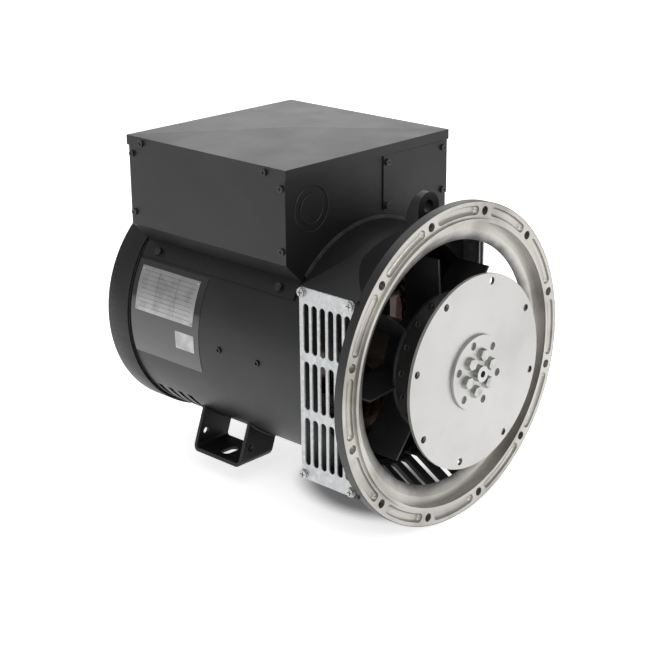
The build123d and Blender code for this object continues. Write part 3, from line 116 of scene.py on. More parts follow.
# ---------------------------------------------------------------- shader graph
class Graph:
    """A material's node tree with short helpers."""

    def __init__(self, name: str) -> None:
        """Makes an empty tree with a Principled shader.

        Args:
            name: the material's name.
        """
        self.material = bpy.data.materials.new(name)
        self.material.use_nodes = True
        self.tree = self.material.node_tree
        self.tree.nodes.clear()
        output = self.add("ShaderNodeOutputMaterial")
        self.shader = self.add("ShaderNodeBsdfPrincipled")
        self.tree.links.new(self.shader.outputs[0], output.inputs[0])
        self.place = self.add("ShaderNodeTexCoord").outputs["Object"]
        split = self.add("ShaderNodeSeparateXYZ")
        self.tree.links.new(self.place, split.inputs[0])
        self.x, self.y, self.z = split.outputs

    def add(self, kind: str, **settings: object) -> bpy.types.Node:
        """Adds a node.

        Args:
            kind: the node's type name.
            **settings: attributes to set on it.

        Returns:
            The new node.
        """
        node = self.tree.nodes.new(kind)
        for key, value in settings.items():
            setattr(node, key, value)
        return node

    def put(self, socket: bpy.types.NodeSocket, value: object) -> None:
        """Links a socket to a value, or stores the value in it.

        Args:
            socket: the input to set.
            value: another socket, a number or a colour.
        """
        if isinstance(value, bpy.types.NodeSocket):
            self.tree.links.new(value, socket)
        else:
            socket.default_value = value

    def math(self, operation: str, first: object, second: object = 0.0) -> bpy.types.NodeSocket:
        """One Math node.

        Args:
            operation: Blender's name for it.
            first: a socket or number.
            second: a socket or number.

        Returns:
            The result's socket.
        """
        node = self.add("ShaderNodeMath", operation=operation)
        self.put(node.inputs[0], first)
        self.put(node.inputs[1], second)
        return node.outputs[0]

    def step(self, value: object, low: float, high: float) -> bpy.types.NodeSocket:
        """A smooth rise from 0 at low to 1 at high, or a fall where low is above high.

        Args:
            value: the socket that is measured.
            low: where the result is 0.
            high: where the result is 1.

        Returns:
            The result's socket.
        """
        node = self.add("ShaderNodeMapRange", interpolation_type="SMOOTHSTEP")
        rising = low < high
        self.put(node.inputs["Value"], value)
        node.inputs["From Min"].default_value = min(low, high)
        node.inputs["From Max"].default_value = max(low, high)
        node.inputs["To Min"].default_value = 0.0 if rising else 1.0
        node.inputs["To Max"].default_value = 1.0 if rising else 0.0
        return node.outputs["Result"]

    def spread(self, value: object, low: float, high: float) -> bpy.types.NodeSocket:
        """Maps 0..1 to low..high.

        Args:
            value: the socket that is mapped.
            low: the result at 0.
            high: the result at 1.

        Returns:
            The result's socket.
        """
        node = self.add("ShaderNodeMapRange")
        self.put(node.inputs["Value"], value)
        node.inputs["To Min"].default_value = low
        node.inputs["To Max"].default_value = high
        return node.outputs["Result"]

    def noise(self, scale: float, detail: float = 4.0) -> bpy.types.NodeSocket:
        """Noise in space.

        Args:
            scale: cycles per metre.
            detail: octaves.

        Returns:
            The noise's value.
        """
        node = self.add("ShaderNodeTexNoise")
        node.inputs["Scale"].default_value = scale
        node.inputs["Detail"].default_value = detail
        self.put(node.inputs["Vector"], self.place)
        return node.outputs[0]

    def lines(self, along: object, scale: float) -> bpy.types.NodeSocket:
        """Uneven fine lines that vary along one measure only.

        Args:
            along: the measure's socket.
            scale: lines per metre, roughly.

        Returns:
            The lines' value.
        """
        node = self.add("ShaderNodeTexNoise", noise_dimensions="1D")
        node.inputs["Scale"].default_value = scale
        node.inputs["Detail"].default_value = 6.0
        node.inputs["Roughness"].default_value = 0.7
        self.put(node.inputs["W"], along)
        return node.outputs[0]

    def radius(self) -> bpy.types.NodeSocket:
        """Distance from the shaft axis."""
        return self.hypotenuse(self.x, self.z)

    def hypotenuse(self, first: object, second: object) -> bpy.types.NodeSocket:
        """The length of two measures taken square to each other.

        Args:
            first: a socket.
            second: a socket.

        Returns:
            The length's socket.
        """
        squares = [self.math("MULTIPLY", side, side) for side in (first, second)]
        return self.math("SQRT", self.math("ADD", *squares))

    def mix(self, share: object, first: object, second: object) -> bpy.types.NodeSocket:
        """Blends two colours.

        Args:
            share: 0 for first, 1 for second.
            first: a colour or socket.
            second: a colour or socket.

        Returns:
            The blended colour.
        """
        node = self.add("ShaderNodeMix", data_type="RGBA")
        self.put(node.inputs[0], share)
        for socket, value in ((node.inputs[6], first), (node.inputs[7], second)):
            self.put(socket, (*value, 1.0) if isinstance(value, tuple) else value)
        return node.outputs[2]

    def bump(self, height: object, depth: float) -> None:
        """Puts relief on the shader's normal.

        Args:
            height: a socket from 0 to 1.
            depth: the relief's depth in metres.
        """
        node = self.add("ShaderNodeBump")
        node.inputs["Strength"].default_value = 1.0
        node.inputs["Distance"].default_value = depth
        self.put(node.inputs["Height"], height)
        self.put(self.shader.inputs["Normal"], node.outputs[0])

    def set(self, **values: object) -> None:
        """Sets sockets of the shader.

        Args:
            **values: the sockets' names, with underscores for spaces, and what goes in them.
        """
        for key, value in values.items():
            value = (*value, 1.0) if isinstance(value, tuple) and len(value) == 3 else value
            self.put(self.shader.inputs[key.replace("_", " ")], value)


# ---------------------------------------------------------------- finishes
@dataclass(frozen=True)
class PowderCoat:
    """Satin powder coat with fine orange peel and a little dust."""

    name: str = "satin_black_powder"
    colour: Colour = (0.0075, 0.0077, 0.0088)
    dusty: Colour = (0.013, 0.013, 0.0145)
    roughness: float = 0.40
    peel: float = 0.00006

    def make(self) -> bpy.types.Material:
        """Builds the material.

        Returns:
            The new material.
        """
        g = Graph(self.name)
        dust = g.step(g.noise(9.0, 8.0), 0.48, 0.72)
        g.set(Base_Color=g.mix(dust, self.colour, self.dusty))
        g.set(Roughness=g.spread(g.noise(22.0, 6.0), self.roughness - 0.05, self.roughness + 0.09))
        g.set(Specular_IOR_Level=0.4)
        g.bump(g.noise(1300.0, 2.0), self.peel)
        return g.material


@dataclass(frozen=True)
class FlangeCasting:
    """Black outside, bare turned aluminium on the engine side."""

    name: str = "flange_casting"
    bare: Colour = (0.50, 0.485, 0.455)
    bare_dark: Colour = (0.33, 0.315, 0.29)
    coat: Colour = (0.0105, 0.0108, 0.012)
    rim: float = 0.2009
    depth: float = 0.0112

    def make(self) -> bpy.types.Material:
        """Builds the material.

        Returns:
            The new material.
        """
        g = Graph(self.name)
        radius = g.radius()
        ragged = g.math("ADD", g.y, g.math("MULTIPLY", g.noise(60.0), 0.004))
        open_side = g.step(ragged, self.depth + 0.006, self.depth - 0.001)
        bare = g.math("MULTIPLY", open_side, g.step(radius, self.rim + 0.0003, self.rim - 0.0003))
        marks = g.lines(radius, 2600.0)
        stain = g.noise(14.0, 7.0)
        metal = g.mix(g.step(stain, 0.42, 0.7), self.bare, self.bare_dark)
        g.set(Base_Color=g.mix(bare, self.coat, metal))
        g.set(Metallic=g.math("MULTIPLY", bare, 0.9))
        g.set(Roughness=g.math("ADD", g.spread(marks, 0.24, 0.46), g.math("MULTIPLY", stain, 0.06)))
        g.bump(g.math("MULTIPLY", marks, bare), 0.00004)
        return g.material


@dataclass(frozen=True)
class Turned:
    """Bright steel with fine marks about the shaft."""

    name: str
    colour: Colour
    low: float
    high: float
    anisotropic: float = 0.0

    def make(self) -> bpy.types.Material:
        """Builds the material.

        Returns:
            The new material.
        """
        g = Graph(self.name)
        marks = g.lines(g.radius(), 3200.0)
        cloud = g.noise(18.0, 6.0)
        darker = tuple(0.93 * c for c in self.colour)
        g.set(Base_Color=g.mix(g.step(cloud, 0.4, 0.7), self.colour, darker))
        g.set(Metallic=1.0, Anisotropic=self.anisotropic)
        g.set(Roughness=g.spread(marks, self.low, self.high))
        if self.anisotropic:
            tangent = g.add("ShaderNodeTangent", direction_type="RADIAL", axis="Y")
            g.put(g.shader.inputs["Tangent"], tangent.outputs[0])
        g.bump(marks, 0.00002)
        return g.material


@dataclass(frozen=True)
class Galvanised:
    """Zinc-dipped sheet with its crystals."""

    name: str = "galvanised_sheet"
    colour: Colour = (0.60, 0.61, 0.61)
    dark: Colour = (0.40, 0.41, 0.42)

    def make(self) -> bpy.types.Material:
        """Builds the material.

        Returns:
            The new material.
        """
        g = Graph(self.name)
        cells = g.add("ShaderNodeTexVoronoi")
        cells.inputs["Scale"].default_value = 210.0
        g.put(cells.inputs["Vector"], g.place)
        value = g.math("MULTIPLY", cells.outputs["Color"], 1.0)
        g.set(Base_Color=g.mix(value, self.dark, self.colour), Metallic=0.85)
        g.set(Roughness=g.spread(g.math("ADD", value, g.noise(40.0)), 0.3, 0.52))
        g.bump(g.noise(500.0), 0.00003)
        return g.material


@dataclass(frozen=True)
class Clouded:
    """A plain material whose colour and gloss vary a little over the surface."""

    name: str
    colour: Colour
    other: Colour
    roughness: float
    metallic: float = 0.0
    scale: float = 40.0
    grain: float = 0.00003
    coat: float = 0.0

    def make(self) -> bpy.types.Material:
        """Builds the material.

        Returns:
            The new material.
        """
        g = Graph(self.name)
        cloud = g.noise(self.scale, 6.0)
        g.set(Base_Color=g.mix(g.step(cloud, 0.4, 0.68), self.colour, self.other))
        g.set(Metallic=self.metallic, Coat_Weight=self.coat)
        g.set(Roughness=g.spread(cloud, self.roughness - 0.06, self.roughness + 0.1))
        g.bump(g.noise(self.scale * 22.0, 2.0), self.grain)
        return g.material


@dataclass(frozen=True)
class Laminated:
    """Stacked varnished sheets."""

    name: str = "varnished_laminations"
    colour: Colour = (0.13, 0.125, 0.12)
    other: Colour = (0.05, 0.048, 0.046)

    def make(self) -> bpy.types.Material:
        """Builds the material.

        Returns:
            The new material.
        """
        g = Graph(self.name)
        sheets = g.lines(g.y, 1500.0)
        g.set(Base_Color=g.mix(g.step(sheets, 0.4, 0.62), self.other, self.colour))
        g.set(Metallic=0.55, Roughness=g.spread(sheets, 0.35, 0.6))
        g.bump(sheets, 0.0001)
        return g.material


@dataclass
class Finishes:
    """All finishes, and which node takes which."""

    made: dict[str, bpy.types.Material] = field(default_factory=dict)

    def build(self) -> None:
        """Makes every material."""
        kinds = {
            "powder_black": PowderCoat(),
            "cast_flange": FlangeCasting(),
            "galvanised": Galvanised(),
            "disc_steel": Turned("brushed_disc", (0.50, 0.495, 0.485), 0.34, 0.5, 0.5),
            "zinc_steel": Clouded(
                "zinc_plate", (0.47, 0.47, 0.455), (0.34, 0.34, 0.33), 0.36, 1.0, 90.0),
            "black_steel": Clouded(
                "blackened_steel", (0.03, 0.03, 0.032), (0.06, 0.06, 0.062), 0.34, 0.5, 120.0),
            "fan_black": Clouded(
                "fan_paint", (0.011, 0.011, 0.012), (0.022, 0.021, 0.021), 0.46, 0.0, 30.0),
            "shaft_steel": Turned("ground_shaft", (0.5, 0.5, 0.49), 0.25, 0.42),
            "lamination": Laminated(),
            "copper_varnish": Clouded(
                "varnished_wire", (0.085, 0.03, 0.011), (0.04, 0.015, 0.007), 0.4, 0.2, 120.0,
                grain=0.0001, coat=0.5),
            "bearing_steel": Turned("bearing_steel", (0.66, 0.66, 0.66), 0.1, 0.2),
            "cast_grey": Clouded(
                "sand_casting", (0.36, 0.36, 0.35), (0.27, 0.27, 0.265), 0.5, 0.8, 60.0, 0.0002),
            "rubber_black": Clouded(
                "rubber", (0.035, 0.035, 0.036), (0.06, 0.06, 0.06), 0.6, 0.0, 80.0),
            "moulded_black": Clouded(
                "black_moulding", (0.02, 0.02, 0.022), (0.035, 0.035, 0.037), 0.5),
            "moulded_tan": Clouded("tan_moulding", (0.36, 0.25, 0.13), (0.29, 0.2, 0.1), 0.5),
            "brass": Turned("turned_brass", (0.62, 0.44, 0.16), 0.2, 0.35),
            "label_black": Clouded(
                "label_film", (0.008, 0.008, 0.009), (0.012, 0.012, 0.013), 0.13, 0.0, 25.0,
                grain=0.000005, coat=0.6),
            "label_silver": Clouded(
                "plate_metal", (0.42, 0.42, 0.42), (0.32, 0.32, 0.325), 0.3, 0.8, 50.0),
        }
        self.made = {slot: finish.make() for slot, finish in kinds.items()}
        LOG.info("made %d finishes", len(self.made))

    def dress(self, piece: bpy.types.Object, slot: str) -> None:
        """Gives a piece its finish."""
        piece.data.materials.clear()
        piece.data.materials.append(self.made[slot])


# ---------------------------------------------------------------- meshes
def new_piece(name: str, points: Sequence[Vector], faces: Iterable[Sequence[int]]) -> bpy.types.Object:
    """A smooth-shaded mesh object.

    Args:
        name: the piece's name.
        points: its vertices in the row frame.
        faces: lists of vertex numbers.

    Returns:
        The object, linked to the scene.
    """
    mesh = bpy.data.meshes.new(name)
    mesh.from_pydata([tuple(p) for p in points], [], [tuple(f) for f in faces])
    mesh.polygons.foreach_set("use_smooth", [True] * len(mesh.polygons))
    mesh.set_sharp_from_angle(angle=math.radians(38))
    piece = bpy.data.objects.new(name, mesh)
    bpy.context.scene.collection.objects.link(piece)
    return piece


@dataclass
class Builder:
    """Collects several closed forms into one mesh."""

    points: list[Vector] = field(default_factory=list)
    faces: list[list[int]] = field(default_factory=list)

    def lathe(self, profile: Sequence[tuple[float, float]], turn: Matrix, sides: int = 24) -> None:
        """Adds a turned form.

        Args:
            profile: (radius, height) pairs from one end of the axis to the other.
            turn: places the local Z axis.
            sides: facets round the axis.
        """
        start = len(self.points)
        for radius, height in profile:
            for k in range(sides):
                a = 2 * math.pi * k / sides
                self.points.append(turn @ Vector((radius * math.cos(a), radius * math.sin(a), height)))
        for row in range(len(profile) - 1):
            for k in range(sides):
                a, b = start + row * sides + k, start + row * sides + (k + 1) % sides
                self.faces.append([a, b, b + sides, a + sides])
        last = start + (len(profile) - 1) * sides
        self.faces.append([start + k for k in reversed(range(sides))])
        self.faces.append([last + k for k in range(sides)])

    def tube(self, path: Sequence[Vector], radius: Callable[[int], float], sides: int = 10) -> None:
        """Adds a closed tube along a path.

        Args:
            path: centre points.
            radius: gives the radius at a point's number.
            sides: facets round it.
        """
        start = len(self.points)
        for k, point in enumerate(path):
            ahead = path[min(k + 1, len(path) - 1)] - path[max(k - 1, 0)]
            turn = ahead.to_track_quat("Z", "Y").to_matrix()
            for j in range(sides):
                a = 2 * math.pi * j / sides
                spoke = Vector((math.cos(a), math.sin(a), 0.0)) * radius(k)
                self.points.append(point + turn @ spoke)
        for row in range(len(path) - 1):
            for j in range(sides):
                a, b = start + row * sides + j, start + row * sides + (j + 1) % sides
                self.faces.append([a, b, b + sides, a + sides])
        last = start + (len(path) - 1) * sides
        self.faces.append([start + j for j in reversed(range(sides))])
        self.faces.append([last + j for j in range(sides)])

    def finish(self, name: str, body: Body, slot: Slot, finishes: Finishes) -> bpy.types.Object:
        """Makes the piece, dresses it and sets it on its body.

        Args:
            name: the piece's name.
            body: what it rides on.
            slot: its material slot.
            finishes: where its material comes from.

        Returns:
            The object.
        """
        piece = new_piece(name, self.points, self.faces)
        finishes.dress(piece, slot.value)
        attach(piece, body.value)
        LOG.info("%s: %d faces", name, len(self.faces))
        return piece


def polar(radius: float, angle: float, y: float) -> Vector:
    """A point at a radius and an angle in degrees from the top towards +X."""
    return Vector((radius * math.sin(math.radians(angle)), y, radius * math.cos(math.radians(angle))))


def facing(point: Vector, direction: Point) -> Matrix:
    """A place whose local Z looks along direction."""
    return Matrix.Translation(point) @ Vector(direction).to_track_quat("Z", "Y").to_matrix().to_4x4()


# ---------------------------------------------------------------- carried-over nodes
@dataclass
class CadPieces:
    """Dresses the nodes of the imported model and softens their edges."""

    edge: float = 0.7 * MM
    fine: float = 0.25 * MM
    weld: float = 0.005 * MM
    flat_angle: float = 0.5
    sharp_angle: float = 40.0
    sheet_nodes: tuple[str, ...] = ("box_lid", "box_end_drive", "box_end_rear",
                                    "foot_left", "foot_right", "rear_cover")
    fine_nodes: tuple[str, ...] = ("hub_bolts", "clamp_plate", "saddle_bolts", "rear_cover_screws", "fan",
                                   "side_grille_left", "side_frame_right")

    def dress(self, frame: dict, finishes: Finishes) -> None:
        """Gives every node its finish.

        Args:
            finishes: the materials.
        """
        slots = {s["node"]: s["material_slot"] for s in frame["record"]["subparts"]}
        for name, node in frame["nodes"].items():
            finishes.dress(node, slots[name])
            if name in self.sheet_nodes:
                self.soften(node, self.edge)
            elif name in self.fine_nodes:
                self.soften(node, self.fine)
        LOG.info("dressed %d nodes", len(slots))

    def soften(self, node: bpy.types.Object, width: float) -> None:
        """Rounds the sharp edges of a node with modifiers.

        Args:
            node: a carried-over node.
            width: the edge's width.
        """
        weld = node.modifiers.new("weld", "WELD")
        weld.merge_threshold = self.weld
        flat = node.modifiers.new("flat", "DECIMATE")
        flat.decimate_type = "DISSOLVE"
        flat.angle_limit = math.radians(self.flat_angle)
        bevel = node.modifiers.new("edge", "BEVEL")
        bevel.width = width
        bevel.segments = 2
        bevel.limit_method = "ANGLE"
        bevel.angle_limit = math.radians(self.sharp_angle)
        bevel.harden_normals = True


# ---------------------------------------------------------------- added pieces
@dataclass
class FootWelds:
    """Weld beads where the feet meet the frame."""

    radius: float = 2.6 * MM
    angles: tuple[float, float] = (137.2, 156.4)
    steps: int = 60

    def build(self, finishes: Finishes) -> None:
        """Lays a rippled bead along each wall of each foot.

        Args:
            finishes: the materials.
        """
        low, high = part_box("foot_left")
        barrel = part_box("stator_frame")[1].x
        for side, label in ((-1, "left"), (1, "right")):
            made = Builder()
            for y in (low.y - 0.4 * self.radius, high.y + 0.4 * self.radius):
                path = []
                for k in range(self.steps + 1):
                    angle = self.angles[0] + (self.angles[1] - self.angles[0]) * k / self.steps
                    path.append(polar(barrel + 0.3 * self.radius, side * angle, y))
                made.tube(path, self.ripple)
            made.finish(f"foot_weld_{label}", Body.STILL, Slot.POWDER, finishes)

    def ripple(self, k: int) -> float:
        """The bead's radius at a step."""
        taper = min(1.0, 0.45 + 0.2 * min(k, self.steps - k))
        return self.radius * taper * (1.0 + 0.13 * math.sin(k * 1.7))


@dataclass
class FanScrews:
    """Pan-head screws round the fan's ring."""

    ring: float = 80.0 * MM
    count: int = 16
    phase: float = -5.0 + 180.0 / 16
    head: float = 4.3 * MM
    shank: float = 5.0 * MM
    rim: float = 1.2 * MM
    crown: float = 2.3 * MM
    top: float = 2.6 * MM
    sides: int = 18

    def build(self, finishes: Finishes) -> None:
        """Sets one screw in each hole.

        Args:
            finishes: the materials.
        """
        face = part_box("fan")[0].y
        made = Builder()
        profile = [(0.52 * self.head, -self.shank), (0.52 * self.head, 0.0), (self.head, 0.0),
                   (self.head, self.rim), (0.82 * self.head, self.crown),
                   (0.45 * self.head, self.top), (0.4 * self.head, self.rim)]
        for k in range(self.count):
            spot = polar(self.ring, self.phase + 360.0 * k / self.count, face)
            made.lathe(profile, facing(spot, (0, -1, 0)), self.sides)
        made.finish("fan_ring_screws", Body.TURNING, Slot.BLACK, finishes)


@dataclass
class Washers:
    """Flat washers under the grille and hub fasteners."""

    thick: float = 1.0 * MM
    seat: float = 0.02 * MM
    sides: int = 32
    grille_r: float = 6.2 * MM
    hub_r: float = 8.2 * MM
    hub_ring: float = 22.75 * MM
    hub_phase: float = 14.5
    hub_count: int = 6
    corner_z: float = 114.2 * MM
    corner_y: tuple[float, float] = (18.4 * MM, 94.5 * MM)

    def build(self, finishes: Finishes) -> None:
        """Makes both sets.

        Args:
            finishes: the materials.
        """
        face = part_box("side_frame_right")[1].x
        made = Builder()
        for side in (-1, 1):
            for y in self.corner_y:
                for z in (-self.corner_z, self.corner_z):
                    self.washer(made, Vector((side * face, y, z)), (side, 0, 0), self.grille_r)
        made.finish("grille_washers", Body.STILL, Slot.ZINC, finishes)
        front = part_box("clamp_plate")[0].y
        made = Builder()
        for k in range(self.hub_count):
            spot = polar(self.hub_ring, self.hub_phase + 360.0 * k / self.hub_count, front)
            self.washer(made, spot, (0, -1, 0), self.hub_r)
        made.finish("hub_washers", Body.TURNING, Slot.ZINC, finishes)

    def washer(self, made: Builder, spot: Vector, out: Point, radius: float) -> None:
        """Adds one washer with rounded rims.

        Args:
            made: the mesh that it joins.
            spot: the middle of its seat.
            out: which way the seat faces.
            radius: its outer radius.
        """
        rim = 0.25 * self.thick
        profile = [(radius - rim, self.seat), (radius, rim), (radius, self.thick - rim),
                   (radius - rim, self.thick), (0.5 * radius, self.thick)]
        made.lathe(profile, facing(spot, out), self.sides)


@dataclass
class RatingPlate:
    """Rivets and plain ruling on the blank plate."""

    angles: tuple[float, float] = (-61.7, -83.3)
    face: float = 0.72 * MM
    lines: int = 9
    columns: tuple[float, float] = (0.34, 0.67)
    rule_r: float = 0.22 * MM
    rule_sides: int = 6
    margin: float = 6.0 * MM
    column_inset: float = 1.8
    column_steps: int = 12
    rivet_r: float = 1.7 * MM
    rivet_in: float = 3.0 * MM
    rivet_turn: float = 1.0
    rivet_sides: int = 16

    def build(self, finishes: Finishes) -> None:
        """Adds the rules and the rivets.

        Args:
            finishes: the materials.
        """
        low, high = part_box("rating_plate")
        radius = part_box("stator_frame")[1].x + self.face
        rules = Builder()
        for path in (*self.rows(low.y, high.y, radius), *self.uprights(low.y, high.y, radius)):
            rules.tube(path, lambda _k: self.rule_r, self.rule_sides)
        rules.finish("plate_ruling", Body.STILL, Slot.LABEL, finishes)
        rivets = Builder()
        dome = [(self.rivet_r, -0.2 * MM), (self.rivet_r, 0.2 * MM), (0.75 * self.rivet_r, 0.75 * MM),
                (0.35 * self.rivet_r, 0.95 * MM)]
        for angle in (self.angles[0] - self.rivet_turn, self.angles[1] + self.rivet_turn):
            for y in (low.y + self.rivet_in, high.y - self.rivet_in):
                spot = polar(radius, angle, y)
                rivets.lathe(dome, facing(spot, tuple(polar(1.0, angle, 0.0))), self.rivet_sides)
        rivets.finish("plate_rivets", Body.STILL, Slot.SILVER, finishes)

    def rows(self, start: float, end: float, radius: float) -> list[list[Vector]]:
        """The rules along the shaft.

        Args:
            start: where the plate begins along Y.
            end: where it ends.
            radius: the plate's face.

        Returns:
            One path for each rule.
        """
        first, last = start + self.margin, end - self.margin
        turn = self.angles[1] - self.angles[0]
        angles = [self.angles[0] + turn * ((k + 1) / (self.lines + 1)) for k in range(self.lines)]
        return [[polar(radius, angle, first + (last - first) * j / 4) for j in range(5)] for angle in angles]

    def uprights(self, start: float, end: float, radius: float) -> list[list[Vector]]:
        """The rules round the frame.

        Args:
            start: where the plate begins along Y.
            end: where it ends.
            radius: the plate's face.

        Returns:
            One path for each rule.
        """
        turn = abs(self.angles[1] - self.angles[0]) - 2 * self.column_inset
        steps = self.column_steps
        angles = [self.angles[0] - self.column_inset - turn * j / steps for j in range(steps + 1)]
        return [[polar(radius, angle, start + (end - start) * share) for angle in angles]
                for share in self.columns]


@dataclass
class EndTurns:
    """The wound end turns of the stator, with their lacing."""

    inner: float = 110.0 * MM
    outer: float = 138.5 * MM
    wire: float = 4.4 * MM
    coils: int = 36
    span: int = 7
    reach: float = 26.0 * MM
    steps: int = 12
    bow: float = 0.55
    ring_share: float = 0.72
    ring_size: float = 2.6
    ring_steps: int = 120

    def build(self, finishes: Finishes) -> None:
        """Builds both ends in place of the plain bundles.

        Args:
            finishes: the materials.
        """
        for node, end in (("end_winding_drive", -1), ("end_winding_rear", 1)):
            low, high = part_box(node)
            face = high.y if end < 0 else low.y
            made = Builder()
            for k in range(self.coils):
                made.tube(self.coil(k, face, end), lambda _k: self.wire, 8)
            ring_y = face + end * self.ring_share * self.reach
            ring = [polar((self.inner + self.outer) / 2, 360.0 * k / self.ring_steps, ring_y)
                    for k in range(self.ring_steps + 1)]
            made.tube(ring, lambda _k: self.ring_size * self.wire, 10)
            piece = made.finish(f"{node}_turns", Body.STILL, Slot.COPPER, finishes)
            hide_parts(node)

    def coil(self, k: int, face: float, end: int) -> list[Vector]:
        """The path of one coil's end turn.

        Args:
            k: the coil's number.
            face: the core's end face.
            end: which way is out of the core along Y.

        Returns:
            Centre points from one slot to the other.
        """
        pitch = 360.0 / self.coils
        path = []
        for j in range(self.steps + 1):
            share = j / self.steps
            rise = math.sin(math.pi * share) ** self.bow
            radius = self.inner + (self.outer - self.inner) * share
            path.append(polar(radius, pitch * (k + self.span * share), face + end * self.reach * rise))
        return path


@dataclass
class LidSeams:
    """Short welded seams at the corners of the lid's skirt."""

    radius: float = 0.9 * MM
    inset: float = 0.9 * MM
    height: float = 12.0 * MM
    steps: int = 14

    def build(self, finishes: Finishes) -> None:
        """Adds one seam at each corner.

        Args:
            finishes: the materials.
        """
        low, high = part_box("box_lid")
        made = Builder()
        for x in (low.x + self.inset, high.x - self.inset):
            for y in (low.y + self.inset, high.y - self.inset):
                path = [Vector((x, y, low.z + self.height * k / self.steps)) for k in range(self.steps + 1)]
                made.tube(path, self.ripple)
        made.finish("lid_corner_seams", Body.STILL, Slot.POWDER, finishes)

    def ripple(self, k: int) -> float:
        """The seam's radius at a step."""
        return self.radius * (1 + 0.12 * math.sin(2.1 * k))


@dataclass
class KnockoutRims:
    """Pressed beads round the knockouts of the box ends."""

    rings: tuple[float, float] = (18.6 * MM, 28.2 * MM)
    bead: float = 0.7 * MM
    facets: int = 72
    places: tuple[tuple[int, str], ...] = ((-1, "box_end_drive"), (-1, "box_end_rear"),
                                           (1, "box_end_rear"))

    def build(self, finishes: Finishes) -> None:
        """Lays two beads round every knockout.

        Args:
            finishes: the materials.
        """
        low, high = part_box("knockouts")
        centre_x = high.x - self.rings[1]
        centre_z = (low.z + high.z) / 2
        made = Builder()
        for side, node in self.places:
            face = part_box(node)[0].y if node == "box_end_drive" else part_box(node)[1].y
            for radius in self.rings:
                turns = [2 * math.pi * k / self.facets for k in range(self.facets + 1)]
                path = [Vector((side * centre_x + radius * math.cos(a), face,
                                centre_z + radius * math.sin(a))) for a in turns]
                made.tube(path, lambda _k: self.bead, 8)
        made.finish("knockout_beads", Body.STILL, Slot.POWDER, finishes)


# ---------------------------------------------------------------- studio
@dataclass(frozen=True)
class Lamp:
    """A soft square lamp."""

    name: str
    place: Point
    target: Point
    size: float
    power: float

    def build(self) -> None:
        """Makes the lamp and aims it."""
        data = bpy.data.lights.new(self.name, "AREA")
        data.size = self.size
        data.energy = self.power
        lamp = bpy.data.objects.new(self.name, data)
        lamp.location = self.place
        aim = Vector(self.target) - Vector(self.place)
        lamp.rotation_euler = aim.to_track_quat("-Z", "Y").to_euler()
        bpy.context.scene.collection.objects.link(lamp)
        LOG.info("lamp %s: %.0f W", self.name, self.power)


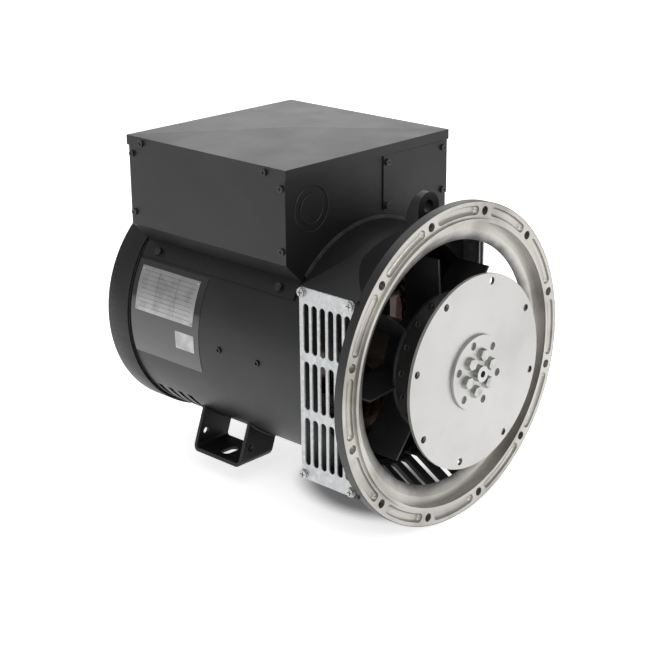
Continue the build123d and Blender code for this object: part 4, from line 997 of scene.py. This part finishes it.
@dataclass
class Studio:
    """Floor, lamps, world and camera."""

    eye: Point = (-1.3896, -1.1206, 0.6885)
    forward: Point = (0.69475, 0.64633, -0.31557)
    roll: float = -0.28
    lens: float = 87.61
    sensor: float = 36.0
    far_clip: float = 50.0
    shift: tuple[float, float] = (-0.0405, -0.0529)
    floor_size: float = 12.0
    floor_glow: float = 0.7
    # painted shadow: half-widths and middle along Y of the oval under the machine where the floor's glow is
    # taken away
    painted_shadow_size: tuple[float, float] = (0.1, 0.13)
    painted_shadow_middle: float = 0.13
    world_light: float = 0.42
    lamps: tuple[Lamp, ...] = (
        Lamp("key", (-1.5, -1.1, 2.0), (0.0, 0.15, 0.0), 1.5, 16.0),
        Lamp("front", (0.4, -2.4, 0.9), (0.0, 0.0, 0.0), 1.4, 19.0),
        Lamp("side", (-2.4, 1.0, 0.7), (0.0, 0.25, 0.0), 1.2, 4.0),
        Lamp("top", (0.3, 0.6, 2.4), (0.0, 0.2, 0.1), 1.6, 24.0),
        Lamp("far", (1.9, 2.1, 1.15), (0.0, 0.28, 0.25), 1.3, 9.0),
    )

    def build(self, floor_z: float) -> None:
        """Makes the whole studio.

        Args:
            floor_z: the height of the floor.
        """
        self.floor(floor_z)
        self.world()
        for lamp in self.lamps:
            lamp.build()
        self.camera()

    def floor(self, height: float) -> None:
        """Makes a pale floor that glows softly, with a painted shadow under the machine where the glow fades
        out.

        Args:
            height: where it lies along Z.
        """
        half = self.floor_size / 2
        corners = [Vector((x, y, height))
                   for x, y in ((-half, -half), (half, -half), (half, half), (-half, half))]
        piece = new_piece("floor", corners, [[0, 1, 2, 3]])
        g = Graph("pale_floor")
        g.set(Base_Color=(0.9, 0.9, 0.9), Roughness=0.9)
        rays = g.add("ShaderNodeLightPath")
        seen = g.math("MAXIMUM", rays.outputs["Is Camera Ray"], rays.outputs["Is Glossy Ray"])
        seen = g.math("MAXIMUM", seen, rays.outputs["Is Transmission Ray"])
        # painted shadow: the glow fades to nothing in an oval under the machine, standing in for its cast
        # shadow
        across = g.math("DIVIDE", g.x, self.painted_shadow_size[0])
        along = g.math("DIVIDE", g.math("SUBTRACT", g.y, self.painted_shadow_middle), self.painted_shadow_size[1])
        outside_painted_shadow = g.step(g.hypotenuse(across, along), 0.6, 1.0)
        g.set(Emission_Color=(1.0, 1.0, 1.0))
        g.set(Emission_Strength=g.math("MULTIPLY", g.math("MULTIPLY", seen, outside_painted_shadow), self.floor_glow))
        piece.data.materials.append(g.material)
        piece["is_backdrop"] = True
        LOG.info("floor at %.4f m", height)

    def world(self) -> None:
        """White where it is seen, softer where it lights."""
        world = bpy.data.worlds.new("studio")
        world.use_nodes = True
        tree = world.node_tree
        tree.nodes.clear()
        output = tree.nodes.new("ShaderNodeOutputWorld")
        backdrop = tree.nodes.new("ShaderNodeBackground")
        rays = tree.nodes.new("ShaderNodeLightPath")
        strength = tree.nodes.new("ShaderNodeMapRange")
        strength.inputs["To Min"].default_value = self.world_light
        strength.inputs["To Max"].default_value = 1.0
        tree.links.new(rays.outputs["Is Camera Ray"], strength.inputs["Value"])
        tree.links.new(strength.outputs["Result"], backdrop.inputs["Strength"])
        backdrop.inputs["Color"].default_value = (1.0, 1.0, 1.0, 1.0)
        tree.links.new(backdrop.outputs[0], output.inputs[0])
        bpy.context.scene.world = world

    def camera(self) -> None:
        """Places the camera."""
        data = bpy.data.cameras.new("camera")
        data.lens = self.lens
        data.sensor_width = self.sensor
        data.shift_x, data.shift_y = self.shift
        data.clip_end = self.far_clip
        camera = bpy.data.objects.new("camera", data)
        turn = Vector(self.forward).to_track_quat("-Z", "Y").to_matrix()
        turn = turn @ Matrix.Rotation(math.radians(self.roll), 3, "Z")
        camera.matrix_world = Matrix.Translation(self.eye) @ turn.to_4x4()
        bpy.context.scene.collection.objects.link(camera)
        bpy.context.scene.camera = camera


def main() -> None:
    """Builds the scene."""
    logging.basicConfig(level=logging.INFO, format="%(name)s: %(message)s")
    for item in list(bpy.data.objects):
        bpy.data.objects.remove(item)
    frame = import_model()
    cad_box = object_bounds()
    bpy.context.scene.view_settings.view_transform = "Standard"
    finishes = Finishes()
    finishes.build()
    CadPieces().dress(frame, finishes)
    assemblies = (FootWelds(), FanScrews(), Washers(), RatingPlate(), EndTurns(), LidSeams(),
                  KnockoutRims())
    for assembly in assemblies:
        assembly.build(finishes)
    Studio().build(cad_box[0].z)


if __name__ == "__main__":
    main()
